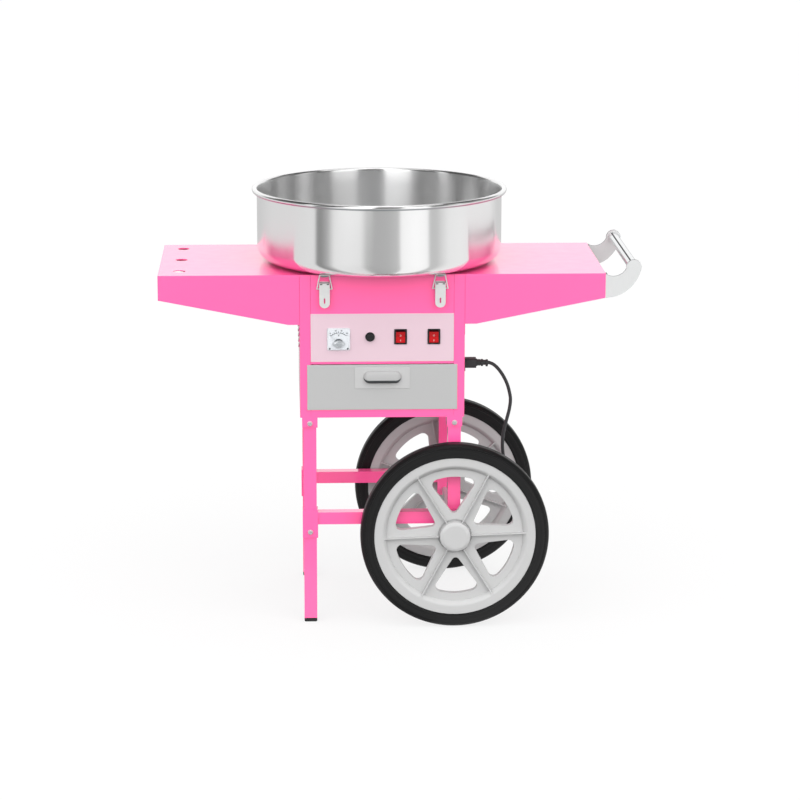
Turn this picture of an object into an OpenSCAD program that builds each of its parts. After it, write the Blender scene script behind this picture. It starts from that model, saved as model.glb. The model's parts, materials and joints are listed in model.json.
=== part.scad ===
// Cotton candy cart: a folded sheet-steel cabinet with two shelves and a spun-steel bowl,
// on two legs and two spoked wheels. Millimetres, +Z up, origin on the floor under the middle.

/* [Cabinet] */
// Width of the cabinet over its side panels
body_w = 331; // [320:1:360]
// Depth of the cabinet and of the shelves
body_d = 356; // [340:1:390]
// Height of the cabinet from its underside to its top
body_h = 292; // [284:1:330]
// Height of the cabinet's underside above the floor
body_z = 431; // [415:1:500]
// Thickness of the cabinet's sheet steel
sheet_t = 1.5; // [1.2:0.1:2]
// Width of the folded flange at each upright edge
flange_w = 22; // [18:1:24]
// Height of the rail below the drawer
rail_h = 16; // [14:1:20]
// Height of the drawer opening as a share of the cabinet's height
drawer_share = 0.322; // [0.3:0.001:0.33]

/* [Vents] */
// Rows of louvres on each side panel
louvre_rows = 4; // [2:1:4]
// Columns of louvres on each side panel
louvre_cols = 5; // [2:1:5]
// Distance between louvre rows
louvre_row_pitch = 11.3; // [10:0.1:12]
// Distance between louvre columns
louvre_col_pitch = 51; // [44:1:56]
// Length of one louvre
louvre_len = 30; // [20:1:36]
// How far a louvre stands out of the panel
louvre_out = 2.5; // [2:0.1:3]
// Distance from a shelf's lower edge down to the middle of the top row
louvre_drop = 21.1; // [16:0.1:24]

/* [Shelves] */
// Length of each shelf beside the cabinet
shelf_len = 281.5; // [240:1:320]
// Height of a shelf's outer edge
shelf_end_h = 50; // [44:1:60]
// Height of a shelf where it meets the cabinet
shelf_root_h = 101; // [90:1:120]
// Level stretch of a shelf's lower edge beside the cabinet
shelf_level = 23; // [15:1:40]
// Diameter of the cone holes in the left shelf
cone_hole_d = 24; // [18:1:30]
// Distance between the cone holes
cone_pitch = 129; // [90:1:135]
// Distance from the left shelf's end to the cone holes
cone_edge = 42; // [30:1:60]

/* [Handle] */
// Thickness of the handle plates
handle_t = 4; // [3:0.5:5]
// How far the handle reaches past the shelf
handle_reach = 72; // [66:1:80]
// Height of the handle bar's middle above the shelf top
handle_rise = 12; // [8:1:16]
// Diameter of the handle bar
handle_bar_d = 21; // [18:0.5:24]
// Radius of the round end of each handle plate
handle_lobe_r = 15.5; // [14:0.5:17]
// Width of the flange that bolts each handle plate to the shelf
handle_flange_w = 24; // [20:1:30]

/* [Legs] */
// Width of the square leg tube
leg_w = 26; // [24:0.5:28]
// Wall of the leg tube, its sockets and the stretchers
leg_wall = 1.5; // [1.2:0.1:2]
// Wall of the sockets and sleeves around the legs
socket_wall = 2.3; // [2:0.1:3]
// Gap between a leg and its socket
leg_gap = 0.2; // [0.1:0.05:0.3]
// Length of the sockets under the cabinet
socket_h = 20.5; // [18:0.5:26]
// Distance from the cabinet's side to the middle of a leg
leg_inset = 19.5; // [17:0.5:24]
// Width of the square stretcher tube
stretcher_w = 25; // [22:0.5:26]
// Height of the stretchers' middle above the floor
stretcher_z = 219.5; // [214:0.5:240]
// Height of the foot caps that show
foot_h = 8.5; // [6:0.5:12]
// Diameter of the frame bolts
bolt_d = 6; // [5:0.5:7]

/* [Wheels] */
// Diameter of the wheels over the tyres
wheel_d = 383; // [370:1:390]
// Width of the tyres
tyre_w = 40; // [36:1:44]
// Height of the tyre section
tyre_h = 28; // [24:1:30]
// Gap between a tyre and the leg sleeves
wheel_gap = 4.7; // [4:0.1:8]
// Diameter of the axle
axle_d = 12; // [10:0.5:14]
// Radial gap between the axle and a hub
axle_fit = 0.06; // [0.03:0.01:0.1]
// Number of spokes in each wheel
spokes = 6; // [5:1:7]
// Diameter of the hub caps
hub_cap_d = 62; // [58:1:66]

/* [Bowl] */
// Diameter of the bowl over its rolled rim
bowl_d = 520; // [500:1:560]
// Height of the bowl over the cabinet's top, rim included
bowl_h = 151; // [140:1:170]
// Thickness of the bowl's steel
bowl_t = 1.2; // [1:0.1:1.6]
// Diameter of the rolled rim's bead
bead_d = 10.4; // [9:0.1:12]
// Outer radius of the bowl's lower corner
bowl_corner = 28; // [24:1:34]
// Height of the foot ring that holds the bowl off the top
bowl_foot = 3.5; // [3.5:0.1:5]

/* [Latches] */
// Distance from the cabinet's side to each latch
latch_inset = 50; // [48:0.5:56]
// Width of a latch lever
lever_w = 20.8; // [20:0.2:22]
// Length of a latch lever below its pivot
lever_len = 48; // [44:1:54]
// Distance from a lever's pivot to the bail's pivot
bail_arm = 10; // [9:0.5:11]
// Height of a bail above its pivot
bail_len = 28; // [27:0.5:29]
// Diameter of the bail wire
bail_d = 2.6; // [2.2:0.1:2.8]

/* [Drawer] */
// Room behind the drawer tray
tray_room = 36; // [26:1:60]
// Gap on each side of the drawer tray in its opening
tray_side = 5.5; // [4:0.5:10]
// Drop from the drawer opening's top to the tray's edge
tray_drop = 22; // [16:1:30]
// Lap of the drawer front over each side of its opening
drawer_lap = 7.5; // [4:0.5:11]
// Thickness of the drawer front
drawer_front_t = 1.5; // [1.2:0.1:2.5]
// Running gap of the drawer
drawer_play = 0.3; // [0.2:0.05:0.5]
// Width of the drawer pull's plate
pull_w = 111; // [100:1:120]
// Height of the drawer pull's plate
pull_h = 43.5; // [40:0.5:48]

/* [Controls] */
// Height of the control panel as a share of the cabinet's height
control_share = 0.3356; // [0.31:0.0001:0.34]
// Thickness of the control panel
control_t = 1; // [0.8:0.1:1.5]
// Place of the meter across the panel as a share of its half width
meter_at = -0.61; // [-0.66:0.01:-0.56]
// Width of the meter
meter_w = 45.5; // [42:0.5:48]
// Place of the fuse across the panel as a share of its half width
fuse_at = -0.172; // [-0.22:0.001:-0.14]
// Diameter of the fuse holder's flange
fuse_d = 19; // [18:0.5:22]
// Place of the heat switch across the panel as a share of its half width
heat_at = 0.254; // [0.21:0.001:0.3]
// Place of the power switch across the panel as a share of its half width
power_at = 0.72; // [0.67:0.01:0.77]
// Width of a switch bezel
switch_w = 25.5; // [25:0.1:27]
// Height of a switch bezel
switch_h = 31; // [30.6:0.1:33]
// Tilt of a rocker to each side
rocker_tilt = 10; // [6:1:12]

/* [Spinner] */
// Diameter of the motor
motor_d = 100; // [80:1:120]
// Height of the motor
motor_h = 80; // [60:1:86]
// How far the motor's top hangs below the cart's top
motor_drop = 83; // [70:1:88]
// Diameter of the spinner shaft
shaft_d = 12; // [10:0.5:14]
// Diameter of the spinner head
head_d = 124; // [110:1:140]
// Height of the spinner head's wall
head_h = 24; // [20:1:28]
// Height of the spinner head's underside above the bowl's floor
head_rise = 32; // [28:1:40]
// Radial gap between the shaft and the motor
shaft_fit = 0.06; // [0.03:0.01:0.1]

/* [Cord] */
// Diameter of the power cord
cord_d = 7; // [6.6:0.1:7.2]
// Gap between turns of the put-away cord
coil_gap = 0.7; // [0.5:0.05:1]

/* [Hidden] */
$fn = 64;
overcut = 1;

// Colours as they look on the cart
pink = "#fb79b9";
pale_pink = "#f3d5e2";
drawer_grey = "#c8c8c8";
steel = "#c9ccd0";
zinc = "#b4b8bb";
plate_grey = "#e0e1e1";
rim_grey = "#d2d4d6";
black = "#1c1c1e";
red = "#c8202a";
white = "#f4f4f2";

// The cabinet
hw = body_w / 2;
hd = body_d / 2;
z_top = body_z + body_h;
panel_z0 = body_z + sheet_t;
panel_z1 = z_top - sheet_t;
opening_hw = hw - flange_w;
lip_inset = 2 * sheet_t;
lip_h = 14;
panel_screw_in = 23.5;
panel_screw_x = opening_hw - panel_screw_in;
panel_screw_r = 2;
screw_fit = 0.1;
drawer_gap_h = drawer_share * body_h;
fascia_z0 = body_z + rail_h + drawer_gap_h;
louvre_rise = body_h - shelf_root_h - louvre_drop - louvre_row_pitch * (louvre_rows - 1);
cart_x = -handle_reach / 2;

// The shelves
shelf_end = hw + shelf_len;
shelf_bolt_in = 58;
shelf_bolt_y = hd - shelf_bolt_in;
shelf_bolt_z = z_top - shelf_root_h / 2;
cone_x = shelf_end - cone_edge;

// The handle plates: an outer sweep, a scooped inner edge and a round end
grip_x = shelf_end + handle_reach - handle_lobe_r;
grip_z = z_top + handle_rise;
sweep_r = handle_reach;
sweep_z = z_top - shelf_end_h + sweep_r;
scoop_r = 28;
scoop_out = 16;
scoop_rise = 22;
scoop_x = shelf_end + scoop_out;
scoop_z = z_top + scoop_rise;
handle_root_drop = 2.5;
handle_root_top = z_top - handle_root_drop;
spigot_r = 6;
spigot_fit = 0.05;
spigot_skin = 1;
handle_bolt_inset = 14;

// The legs, sockets and stretchers
socket_w = leg_w + 2 * (leg_gap + socket_wall);
leg_x = hw - leg_inset;
leg_y = hd - socket_w / 2;
leg_bolt_z = body_z - 0.6 * socket_h;
axle_z = wheel_d / 2;
sleeve_z0 = axle_z - axle_d;
sleeve_z1 = stretcher_z + 0.74 * stretcher_w;
bolt_r = bolt_d / 2;
bolt_fit = 0.1;
bolt_head_r = 1.85 * bolt_r;
bolt_head_h = 0.75 * bolt_d;
nut_h = 0.8 * bolt_d;
stem_h = 14;
stem_fit = 0.15;

// The wheels
tyre_r = wheel_d / 2;
seat_r = tyre_r - tyre_h;
seat_fit = 0.05;
wheel_y = hd + wheel_gap + tyre_w / 2;
washer_t = 1.5;
washer_r = axle_d;
end_play = 0.3;
hub_r = 27;
hub_y0 = hd + washer_t + end_play;
hub_len = 36;
hub_y1 = hub_y0 + hub_len;
nut_y0 = hub_y1 + end_play + washer_t;
axle_nut_h = 7;
axle_nut_r = 10.5;
axle_y1 = nut_y0 + axle_nut_h + 2;
rim_hw = 0.45 * tyre_w;
band_w = 15;
slope_w = 9;
slope_h = 7;
groove_w = 1;
band_r = seat_r - band_w;
slope_r = band_r - slope_w;
slope_hw = rim_hw - slope_h;
web_r = slope_r - groove_w;
web_hw = 7;
rib_w = 2.2;
rib_h = 9;
rib_r0 = hub_cap_d / 2 + 0.5;
rib_r1 = band_r - 2;
recess_r = hub_cap_d / 2 + 3;
recess_hw = web_hw - 2.5;
spoke_turn_front = 2;
spoke_turn_back = 39.7;
window_in = 16;
window_edge = 16;
window_r0 = hub_cap_d / 2 + window_in;
window_r1 = web_r - window_edge;
apex_rd = 8;
corner_rd = 12;
spoke_w = 30;
window_turn = 180 / spokes - asin((spoke_w / 2 + corner_rd) / (window_r1 - corner_rd));
shoulder_rd = 14;
cap_wall = 2;
cap_skirt_y0 = wheel_y + recess_hw + end_play;
cap_flat_r = hub_cap_d / 2 - 8.5;

// The bowl
bead_lap = 0.4;
bowl_wall_r = bowl_d / 2 - bead_d + bead_lap;
bead_r = bead_d / 2;
bead_cr = bowl_d / 2 - bead_r;
bead_z = z_top + bowl_h - bead_r;
bowl_z = z_top + bowl_foot;
bowl_flat_r = bowl_wall_r - bowl_corner;
foot_r0 = 95;
foot_r1 = 105;
spindle_hole_r = 30;
collar_h = 16;

// The latches: u runs outward from the cabinet's face, w upward, from a lever's pivot
pivot_out = 6;
pivot_drop = 17;
latch_x = hw - latch_inset;
pivot_z = z_top - pivot_drop;
base_t = 1.5;
pivot_r = 1.5;
pivot_fit = 0.05;
ear_x0 = 7;
ear_x1 = 8.5;
cheek_t = 1.5;
cheek_r = 4;
lever_face_u = 5;
lever_face_t = 1.5;
lever_top = 2;
cheek_len = 24;
bail_r = bail_d / 2;
bail_foot_x = 15.2;
bail_top_x = 9.5;
bail_lean = 3.3;
bail_stub_lap = 0.5;
bail_stub_x = ear_x0 + bail_stub_lap;
catch_gap = 0.5;
catch_t = 1.6;
bail_z = pivot_z - bail_arm + bail_len;
bail_out = pivot_out + bail_lean;
lip_top = bail_z - bail_r - catch_gap;
keeper_w = 13;
keeper_tab_out = bail_out - bail_r - catch_gap - catch_t;
keeper_lip_past = 0.8;
keeper_lip_out = bail_out + bail_r + keeper_lip_past;
keeper_in = 28;

// The drawer
drawer_z0 = body_z + rail_h;
ledge_rise = 1;
ledge_z = drawer_z0 + ledge_rise;
tray_d = body_d - tray_room;
tray_w = 2 * (opening_hw - tray_side);
tray_h = drawer_gap_h - tray_drop;
drawer_front_w = 2 * (opening_hw + drawer_lap);
tray_z0 = ledge_z + drawer_play;
tray_y0 = -hd - drawer_play;
drawer_front_y = tray_y0 - drawer_front_t;
drawer_front_gap = 1;
drawer_front_h = drawer_gap_h - drawer_front_gap;
runner_in = 6;
runner_y = hd - runner_in;
ledge_w = 12;
ledge_x = tray_w / 2 - ledge_w;
guide_h = 8;
runner_flange_h = 20;
pull_t = 1;
pull_drop = 5.5;
pull_z = drawer_z0 + drawer_front_h - pull_drop - pull_h / 2;
hood_len = 75;
hood_r = 13;
hood_wall = 1.5;
hood_corner = 9;
hood_drop = 10;
hood_z = pull_z - hood_drop;

// The controls
control_gap = 5;
control_h = control_share * body_h;
control_z0 = fascia_z0 + control_gap;
control_z = control_z0 + control_h / 2;
meter_x = meter_at * opening_hw;
fuse_x = fuse_at * opening_hw;
heat_x = heat_at * opening_hw;
power_x = power_at * opening_hw;
face_y = -hd - control_t;
cut_fit = 0.1;
control_shift = 2;
switch_z = control_z + control_shift;
fuse_z = switch_z;
meter_z = control_z - control_shift;
bezel_t = 2;
bezel_side = 1.55;
bezel_end = 1.3;
switch_body_w = switch_w - 2 * bezel_side;
switch_body_h = switch_h - 2 * bezel_end;
switch_body_d = 18;
aperture_w = 19.4;
aperture_h = 27.2;
rocker_side = 0.4;
rocker_w = aperture_w - 2 * rocker_side;
rocker_in = 3;
rocker_pin_r = 1.5;
rocker_pin_in = 1;
rocker_pin_x = aperture_w / 2 + rocker_pin_in;
fuse_flange_t = 2.5;
fuse_barrel_r = 7;
fuse_barrel_d = 30;
fuse_cap_r = 6.5;
fuse_cap_h = 6;
fuse_stem_r = 5;
fuse_stem_d = 20;
meter_short = 1;
meter_h = meter_w - meter_short;
meter_base_t = 2;
meter_barrel_r = 19;
meter_barrel_d = 28;
meter_cover_d = 8;
meter_wall = 1.5;
meter_pivot_drop = 9;
meter_pivot_z = meter_z - meter_pivot_drop;
movement_r = 10;
movement_t = 1.6;
needle_r = 0.8;
needle_w = 1;
needle_len = 22;
needle_t = 0.8;
needle_rest = 45;
needle_hub_r = 2.2;
needle_gap = 0.3;

// The power inlet and the cord
inlet_in = 40;
inlet_drop = 33;
inlet_y = -hd + inlet_in;
inlet_z = body_z + louvre_rise - inlet_drop;
inlet_flange_t = 2.5;
inlet_flange_w = 48;
inlet_flange_h = 27;
inlet_body_w = 29;
inlet_body_h = 22;
inlet_body_d = 22;
socket_in_w = 24.4;
socket_in_h = 16.4;
socket_in_d = 16;
nose_fit = 0.2;
pin_w = 2;
pin_h = 4;
pin_d = 13;
pin_pitch = 7;
pin_fit = 0.25;
plug_body_x0 = hw + inlet_flange_t;
plug_body_len = 23;
plug_body_w = 27;
plug_body_h = 19;
relief_len = 25;
relief_ribs = 5;
cord_r = cord_d / 2;

// The cord's free run, from the connector down behind the front wheel to the floor: how far past
// the connector, how far behind the inlet, and how high where the inlet is route_z up
route_z = 534;
cord_route = [
  [0, 0, 534], [10, 0, 530], [20, 0, 521], [30, 0, 507], [38, 0, 491],
  [43, 0, 475], [46, 0, 457], [44, 0, 437], [39, 0, 416], [34, 0, 396],
  [31, 0, 375], [31, 1, 354], [34, 2, 333], [41, 3, 311], [51, 4, 289],
  [62, 5, 266], [72, 6, 242], [81, 7, 217], [87, 8, 191], [89, 8, 165],
  [88, 8, 139], [83, 8, 114], [74, 8, 91], [62, 8, 69], [47, 7, 49],
  [30, 5, 32], [11, 1, 18], [-9, -5, 8]
];
cord_x0 = plug_body_x0 + plug_body_len + relief_len;
cord_points = [for (p = cord_route) [cord_x0 + p.x, inlet_y + p.y, p.z * inlet_z / route_z]];

// The put-away coil: two flat spirals, one on the other, wound clockwise from above
coil_back = 66;
coil_in = 16;
coil_x = cord_x0 - coil_back;
coil_y = inlet_y + coil_in;
coil_from = 300;
coil_sweep = 1170;
coil_steps = 78;
coil_step_in = cord_d + coil_gap;
coil_r1 = 44;
coil_layer = cord_d + coil_gap;
coil_climb = 90;
tail_len = 2 * cord_d;

function ease(t) = let (s = min(1, max(0, t))) s * s * (3 - 2 * s);
function coil_angle(t) = coil_from - t;
function coil_radius(t) = coil_r1 - coil_step_in * min(t, coil_sweep - t) / 360;
function coil_height(t) = cord_r + coil_layer * ease((t - coil_sweep / 2 + coil_climb) / (2 * coil_climb));
function coil_point(t) = let (a = coil_angle(t), r = coil_radius(t))
  [coil_x + r * cos(a), coil_y + r * sin(a), coil_height(t)];
function coil_heading(t) = [sin(coil_angle(t)), -cos(coil_angle(t)), 0];
coil_turns = [for (i = [0:coil_steps]) coil_point(coil_sweep * i / coil_steps)];
coil_start = coil_turns[0] - cord_d * coil_heading(0);
coil_end = coil_turns[coil_steps] + tail_len * coil_heading(coil_sweep);
coil_path = concat([coil_start], coil_turns, [coil_end]);
run_path = concat(cord_points, [coil_start]);

// Least gap between turns of the coil, measured on its points
gap_apart = 8;
coil_least = min([for (i = [0:coil_steps - gap_apart], j = [i + gap_apart:coil_steps])
  norm(coil_turns[i] - coil_turns[j])]) - cord_d;
function path_length(p, i = 1) = i >= len(p) ? 0 : norm(p[i] - p[i - 1]) + path_length(p, i + 1);
echo(coil_gap_mm = coil_least);
echo(cord_length_mm = path_length(run_path) + path_length(coil_path));

// The plug at the cord's far end, in line with the coil's tail
plug_turn = atan2(coil_heading(coil_sweep).y, coil_heading(coil_sweep).x);
plug_z = coil_end.z;
plug_relief_len = 22;
plug_len = 38;
plug_w = 26;
blade_len = 17;
blade_t = 1.6;
blade_h = 6.4;
blade_pitch = 12.8;
earth_r = 2.4;
earth_len = 20;

// The works under the bowl
bracket_t = 3;
bracket_w = 150;
post_r = 5;
post_at = 62;
motor_z1 = z_top - motor_drop;
motor_z0 = motor_z1 - motor_h;
boss_r = 15;
boss_h = 6;
boss_fit = 0.2;
shaft_r = shaft_d / 2;
shaft_in = 40;
head_z0 = bowl_z + head_rise;
head_r = head_d / 2;
head_wall = 3;
head_floor = 3;
head_hub_r = 14;
head_hub_h = 8;
head_slots = 18;
head_slot_w = 2;
head_slot_h = 14;
heater_in = 9;
heater_r = head_r - heater_in;
heater_t = 3;
heater_h = 12;
heater_lift = 5;
heater_post_w = 4;
head_cap_t = 3;
feed_r = 20;
feed_rim_h = 6;

// Shapes used by several pieces
module place() {
  translate([cart_x, 0, 0]) children();
}

module block(lo, hi) {
  translate(lo) cube(hi - lo);
}

module rod_x(r, x0, x1, y, z) {
  translate([x0, y, z]) rotate([0, 90, 0]) cylinder(r = r, h = x1 - x0);
}

module rod_y(r, y0, y1, x, z) {
  translate([x, y1, z]) rotate([90, 0, 0]) cylinder(r = r, h = y1 - y0);
}

module rod_z(r, z0, z1, x = 0, y = 0) {
  translate([x, y, z0]) cylinder(r = r, h = z1 - z0);
}

// Stands a flat outline upright, facing the front, from y0 to y1
module upright(y0, y1) {
  translate([0, y1, 0]) rotate([90, 0, 0]) linear_extrude(y1 - y0) children();
}

// Stands a flat outline upright, facing the side, from x0 to x1
module sideways(x0, x1) {
  translate([x0, 0, 0]) rotate([90, 0, 90]) linear_extrude(x1 - x0) children();
}

module left_and_right() {
  children();
  mirror([1, 0, 0]) children();
}

module front_and_back() {
  children();
  mirror([0, 1, 0]) children();
}

module soft_rect(w, h, r) {
  square([w - 2 * r, h], center = true);
  square([w, h - 2 * r], center = true);
  for (sx = [-1, 1], sy = [-1, 1]) translate([sx * (w / 2 - r), sy * (h / 2 - r)]) circle(r);
}

module square_tube(w, wall, h) {
  linear_extrude(h) difference() {
    square(w, center = true);
    square(w - 2 * wall, center = true);
  }
}

// A round tube swept along points, with the direction of each end given
function unit(v) = v / norm(v);
function heading(p, i, first, last) =
  i == 0 ? first : i == len(p) - 1 ? last : unit(p[i + 1] - p[i - 1]);
function ring(c, t, side, r, n) = let (a = unit(cross(t, side)), b = cross(t, a))
  [for (k = [0:n - 1]) c + r * (cos(360 * k / n) * a + sin(360 * k / n) * b)];
module swept_tube(p, r, n, side, first, last) {
  rings = [for (i = [0:len(p) - 1]) ring(p[i], heading(p, i, first, last), side, r, n)];
  points = [for (q = rings) each q];
  m = len(p);
  walls = [for (i = [0:m - 2], k = [0:n - 1]) let (k2 = (k + 1) % n)
    each [[i * n + k, i * n + k2, (i + 1) * n + k2], [i * n + k, (i + 1) * n + k2, (i + 1) * n + k]]];
  near_end = [for (k = [1:n - 2]) [0, k + 1, k]];
  far_end = [for (k = [1:n - 2]) [(m - 1) * n, (m - 1) * n + k, (m - 1) * n + k + 1]];
  polyhedron(points, concat(walls, near_end, far_end), convexity = 8);
}

// Cabinet sheet metal
module leg_spots() {
  left_and_right() front_and_back() translate([leg_x, -leg_y, 0]) children();
}

module leg_bolt_holes(r) {
  left_and_right() front_and_back() rod_y(r, -hd - overcut, -hd + socket_w + overcut, leg_x, leg_bolt_z);
}

module base_pan() {
  color(pink) place() difference() {
    union() {
      block([-hw, -hd, body_z], [hw, hd, panel_z0]);
      block([-opening_hw, -hd, body_z], [opening_hw, -hd + sheet_t, drawer_z0]);
      block([-opening_hw, hd - lip_inset, body_z], [opening_hw, hd - sheet_t, body_z + lip_h]);
      leg_spots() translate([0, 0, body_z - socket_h]) square_tube(socket_w, socket_wall, socket_h);
    }
    leg_bolt_holes(bolt_r + bolt_fit);
    back_screw_holes();
  }
}

module back_screw_holes() {
  for (x = [-panel_screw_x, panel_screw_x], z = [body_z + lip_h / 2, z_top - lip_h / 2]) {
    rod_y(panel_screw_r + screw_fit, hd - lip_inset - overcut, hd + overcut, x, z);
  }
}

module louvre_spots() {
  for (row = [0:louvre_rows - 1], col = [0:louvre_cols - 1]) {
    y = louvre_col_pitch * (col - (louvre_cols - 1) / 2);
    translate([hw, y, body_z + louvre_rise + louvre_row_pitch * row]) children();
  }
}

module louvre_hood() {
  hood_top = 4;
  hood_low = -3;
  upright(-louvre_len / 2, louvre_len / 2) polygon([
    [-sheet_t, hood_top], [0, hood_top], [louvre_out, hood_low], [louvre_out - 1, hood_low],
    [-sheet_t, hood_top - 2]
  ]);
  for (s = [-1, 1]) translate([0, s * (louvre_len / 2 - 0.5), 0]) upright(-0.5, 0.5) polygon([
    [-sheet_t, hood_top], [0, hood_top], [louvre_out, hood_low], [-sheet_t, hood_low]
  ]);
}

module louvre_slot() {
  block([-sheet_t - overcut, -louvre_len / 2 + 1, -3], [overcut, louvre_len / 2 - 1, 3]);
}

module side_sheet(inlet) {
  louvre_spots() louvre_hood();
  difference() {
    union() {
      block([hw - sheet_t, -hd, panel_z0], [hw, hd, panel_z1]);
      front_and_back() block([opening_hw, -hd, panel_z0], [hw, -hd + sheet_t, panel_z1]);
    }
    louvre_spots() louvre_slot();
    shelf_bolt_holes(bolt_r + bolt_fit);
    if (inlet) {
      translate([0, inlet_y, inlet_z]) sideways(hw - sheet_t - overcut, hw + overcut)
        square([inlet_body_w + cut_fit, inlet_body_h + cut_fit], center = true);
    }
  }
}

module shelf_bolt_holes(r) {
  for (y = [-shelf_bolt_y, shelf_bolt_y]) {
    rod_x(r, hw - sheet_t - overcut, hw + sheet_t + overcut, y, shelf_bolt_z);
  }
}

module side_panel_left() {
  color(pink) place() mirror([1, 0, 0]) side_sheet(false);
}

module side_panel_right() {
  color(pink) place() side_sheet(true);
}

module back_panel() {
  color(pink) place() difference() {
    block([-opening_hw, hd - sheet_t, panel_z0], [opening_hw, hd, panel_z1]);
    back_screw_holes();
  }
}

module control_cuts() {
  upright(-hd - control_t - overcut, -hd + sheet_t + overcut) {
    for (x = [heat_x, power_x]) translate([x, switch_z])
      square([switch_body_w + 2 * cut_fit, switch_body_h + 2 * cut_fit], center = true);
    translate([fuse_x, fuse_z]) circle(fuse_barrel_r + cut_fit);
    translate([meter_x, meter_z]) circle(meter_barrel_r + cut_fit);
  }
}

module front_panel() {
  color(pink) place() difference() {
    block([-opening_hw, -hd, fascia_z0], [opening_hw, -hd + sheet_t, panel_z1]);
    control_cuts();
  }
}

module control_panel() {
  color(pale_pink) place() difference() {
    block([-opening_hw, face_y, control_z0], [opening_hw, -hd, control_z0 + control_h]);
    control_cuts();
  }
}

module top_plate() {
  color(pink) place() difference() {
    union() {
      block([-hw, -hd, panel_z1], [hw, hd, z_top]);
      block([-opening_hw, hd - lip_inset, z_top - lip_h], [opening_hw, hd - sheet_t, z_top]);
    }
    rod_z(spindle_hole_r, panel_z1 - overcut, z_top + overcut);
    back_screw_holes();
  }
}

// Shelves: a folded skirt, open below, under a flat top sheet that is welded to it
module shelf_skirt() {
  seam_z = z_top - sheet_t;
  front_and_back() upright(-hd, -hd + sheet_t) polygon([
    [hw, seam_z], [shelf_end, seam_z], [shelf_end, z_top - shelf_end_h],
    [hw + shelf_level, z_top - shelf_root_h], [hw, z_top - shelf_root_h]
  ]);
  block([shelf_end - sheet_t, -hd, z_top - shelf_end_h], [shelf_end, hd, seam_z]);
  block([hw, -hd, z_top - shelf_root_h], [hw + sheet_t, hd, seam_z]);
}

module shelf_left() {
  color(pink) place() mirror([1, 0, 0]) difference() {
    shelf_skirt();
    shelf_bolt_holes(bolt_r + bolt_fit);
  }
}

module shelf_right() {
  color(pink) place() difference() {
    shelf_skirt();
    shelf_bolt_holes(bolt_r + bolt_fit);
    handle_bolt_holes(bolt_r + bolt_fit);
  }
}

module shelf_tops() {
  color(pink) place() difference() {
    left_and_right() block([hw, -hd, z_top - sheet_t], [shelf_end, hd, z_top]);
    for (i = [-1:1]) {
      rod_z(cone_hole_d / 2, z_top - sheet_t - overcut, z_top + overcut, -cone_x, i * cone_pitch);
    }
  }
}

// Handle
module handle_outline() {
  difference() {
    intersection() {
      translate([shelf_end, sweep_z]) circle(sweep_r);
      polygon([
        [shelf_end, z_top - shelf_end_h], [shelf_end + sweep_r, z_top - shelf_end_h],
        [shelf_end + sweep_r, grip_z], [grip_x - handle_lobe_r, grip_z], [scoop_x, scoop_z],
        [shelf_end, handle_root_top]
      ]);
    }
    translate([scoop_x, scoop_z]) circle(scoop_r);
  }
  translate([grip_x, grip_z]) circle(handle_lobe_r);
}

module handle_bolt_spots() {
  y = hd - handle_flange_w / 2 - handle_t / 2;
  for (sy = [-1, 1], z = [handle_root_top - handle_bolt_inset, z_top - shelf_end_h + handle_bolt_inset]) {
    translate([0, sy * y, z]) children();
  }
}

module handle_bolt_holes(r) {
  handle_bolt_spots() rod_x(r, shelf_end - sheet_t - overcut, shelf_end + handle_t + overcut, 0, 0);
}

module handle_brackets() {
  color(plate_grey) place() difference() {
    front_and_back() {
      upright(-hd, -hd + handle_t) handle_outline();
      block([shelf_end, -hd, z_top - shelf_end_h],
            [shelf_end + handle_t, -hd + handle_flange_w, handle_root_top]);
    }
    handle_bolt_holes(bolt_r + bolt_fit);
    rod_y(spigot_r + spigot_fit, -hd + spigot_skin, hd - spigot_skin, grip_x, grip_z);
  }
}

module handle_bar() {
  color(plate_grey) place() {
    rod_y(handle_bar_d / 2, -hd + handle_t, hd - handle_t, grip_x, grip_z);
    rod_y(spigot_r, -hd + spigot_skin, hd - spigot_skin, grip_x, grip_z);
  }
}

// Legs, stretchers and their fastenings
module leg(z0, low_r) {
  difference() {
    translate([leg_x, -leg_y, z0]) square_tube(leg_w, leg_wall, body_z - z0);
    rod_y(bolt_r + bolt_fit, -hd, -hd + socket_w, leg_x, leg_bolt_z);
    rod_y(low_r, -hd, -hd + socket_w, leg_x, axle_z);
  }
}

module leg_front_left() {
  color(pink) place() mirror([1, 0, 0]) leg(foot_h, bolt_r + bolt_fit);
}

module leg_back_left() {
  color(pink) place() mirror([1, 0, 0]) mirror([0, 1, 0]) leg(foot_h, bolt_r + bolt_fit);
}

module leg_front_right() {
  color(pink) place() leg(sleeve_z0, axle_d / 2 + axle_fit);
}

module leg_back_right() {
  color(pink) place() mirror([0, 1, 0]) leg(sleeve_z0, axle_d / 2 + axle_fit);
}

module foot_caps() {
  stem_w = leg_w - 2 * (leg_wall + stem_fit);
  chamfer = 2;
  color(black) place() front_and_back() translate([-leg_x, -leg_y, 0]) {
    intersection() {
      upright(-leg_w / 2, leg_w / 2) polygon([
        [-leg_w / 2 + chamfer, 0], [leg_w / 2 - chamfer, 0], [leg_w / 2, chamfer],
        [leg_w / 2, foot_h], [-leg_w / 2, foot_h], [-leg_w / 2, chamfer]
      ]);
      sideways(-leg_w / 2, leg_w / 2) polygon([
        [-leg_w / 2 + chamfer, 0], [leg_w / 2 - chamfer, 0], [leg_w / 2, chamfer],
        [leg_w / 2, foot_h], [-leg_w / 2, foot_h], [-leg_w / 2, chamfer]
      ]);
    }
    translate([0, 0, foot_h - overcut]) linear_extrude(stem_h + overcut) square(stem_w, center = true);
  }
}

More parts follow.
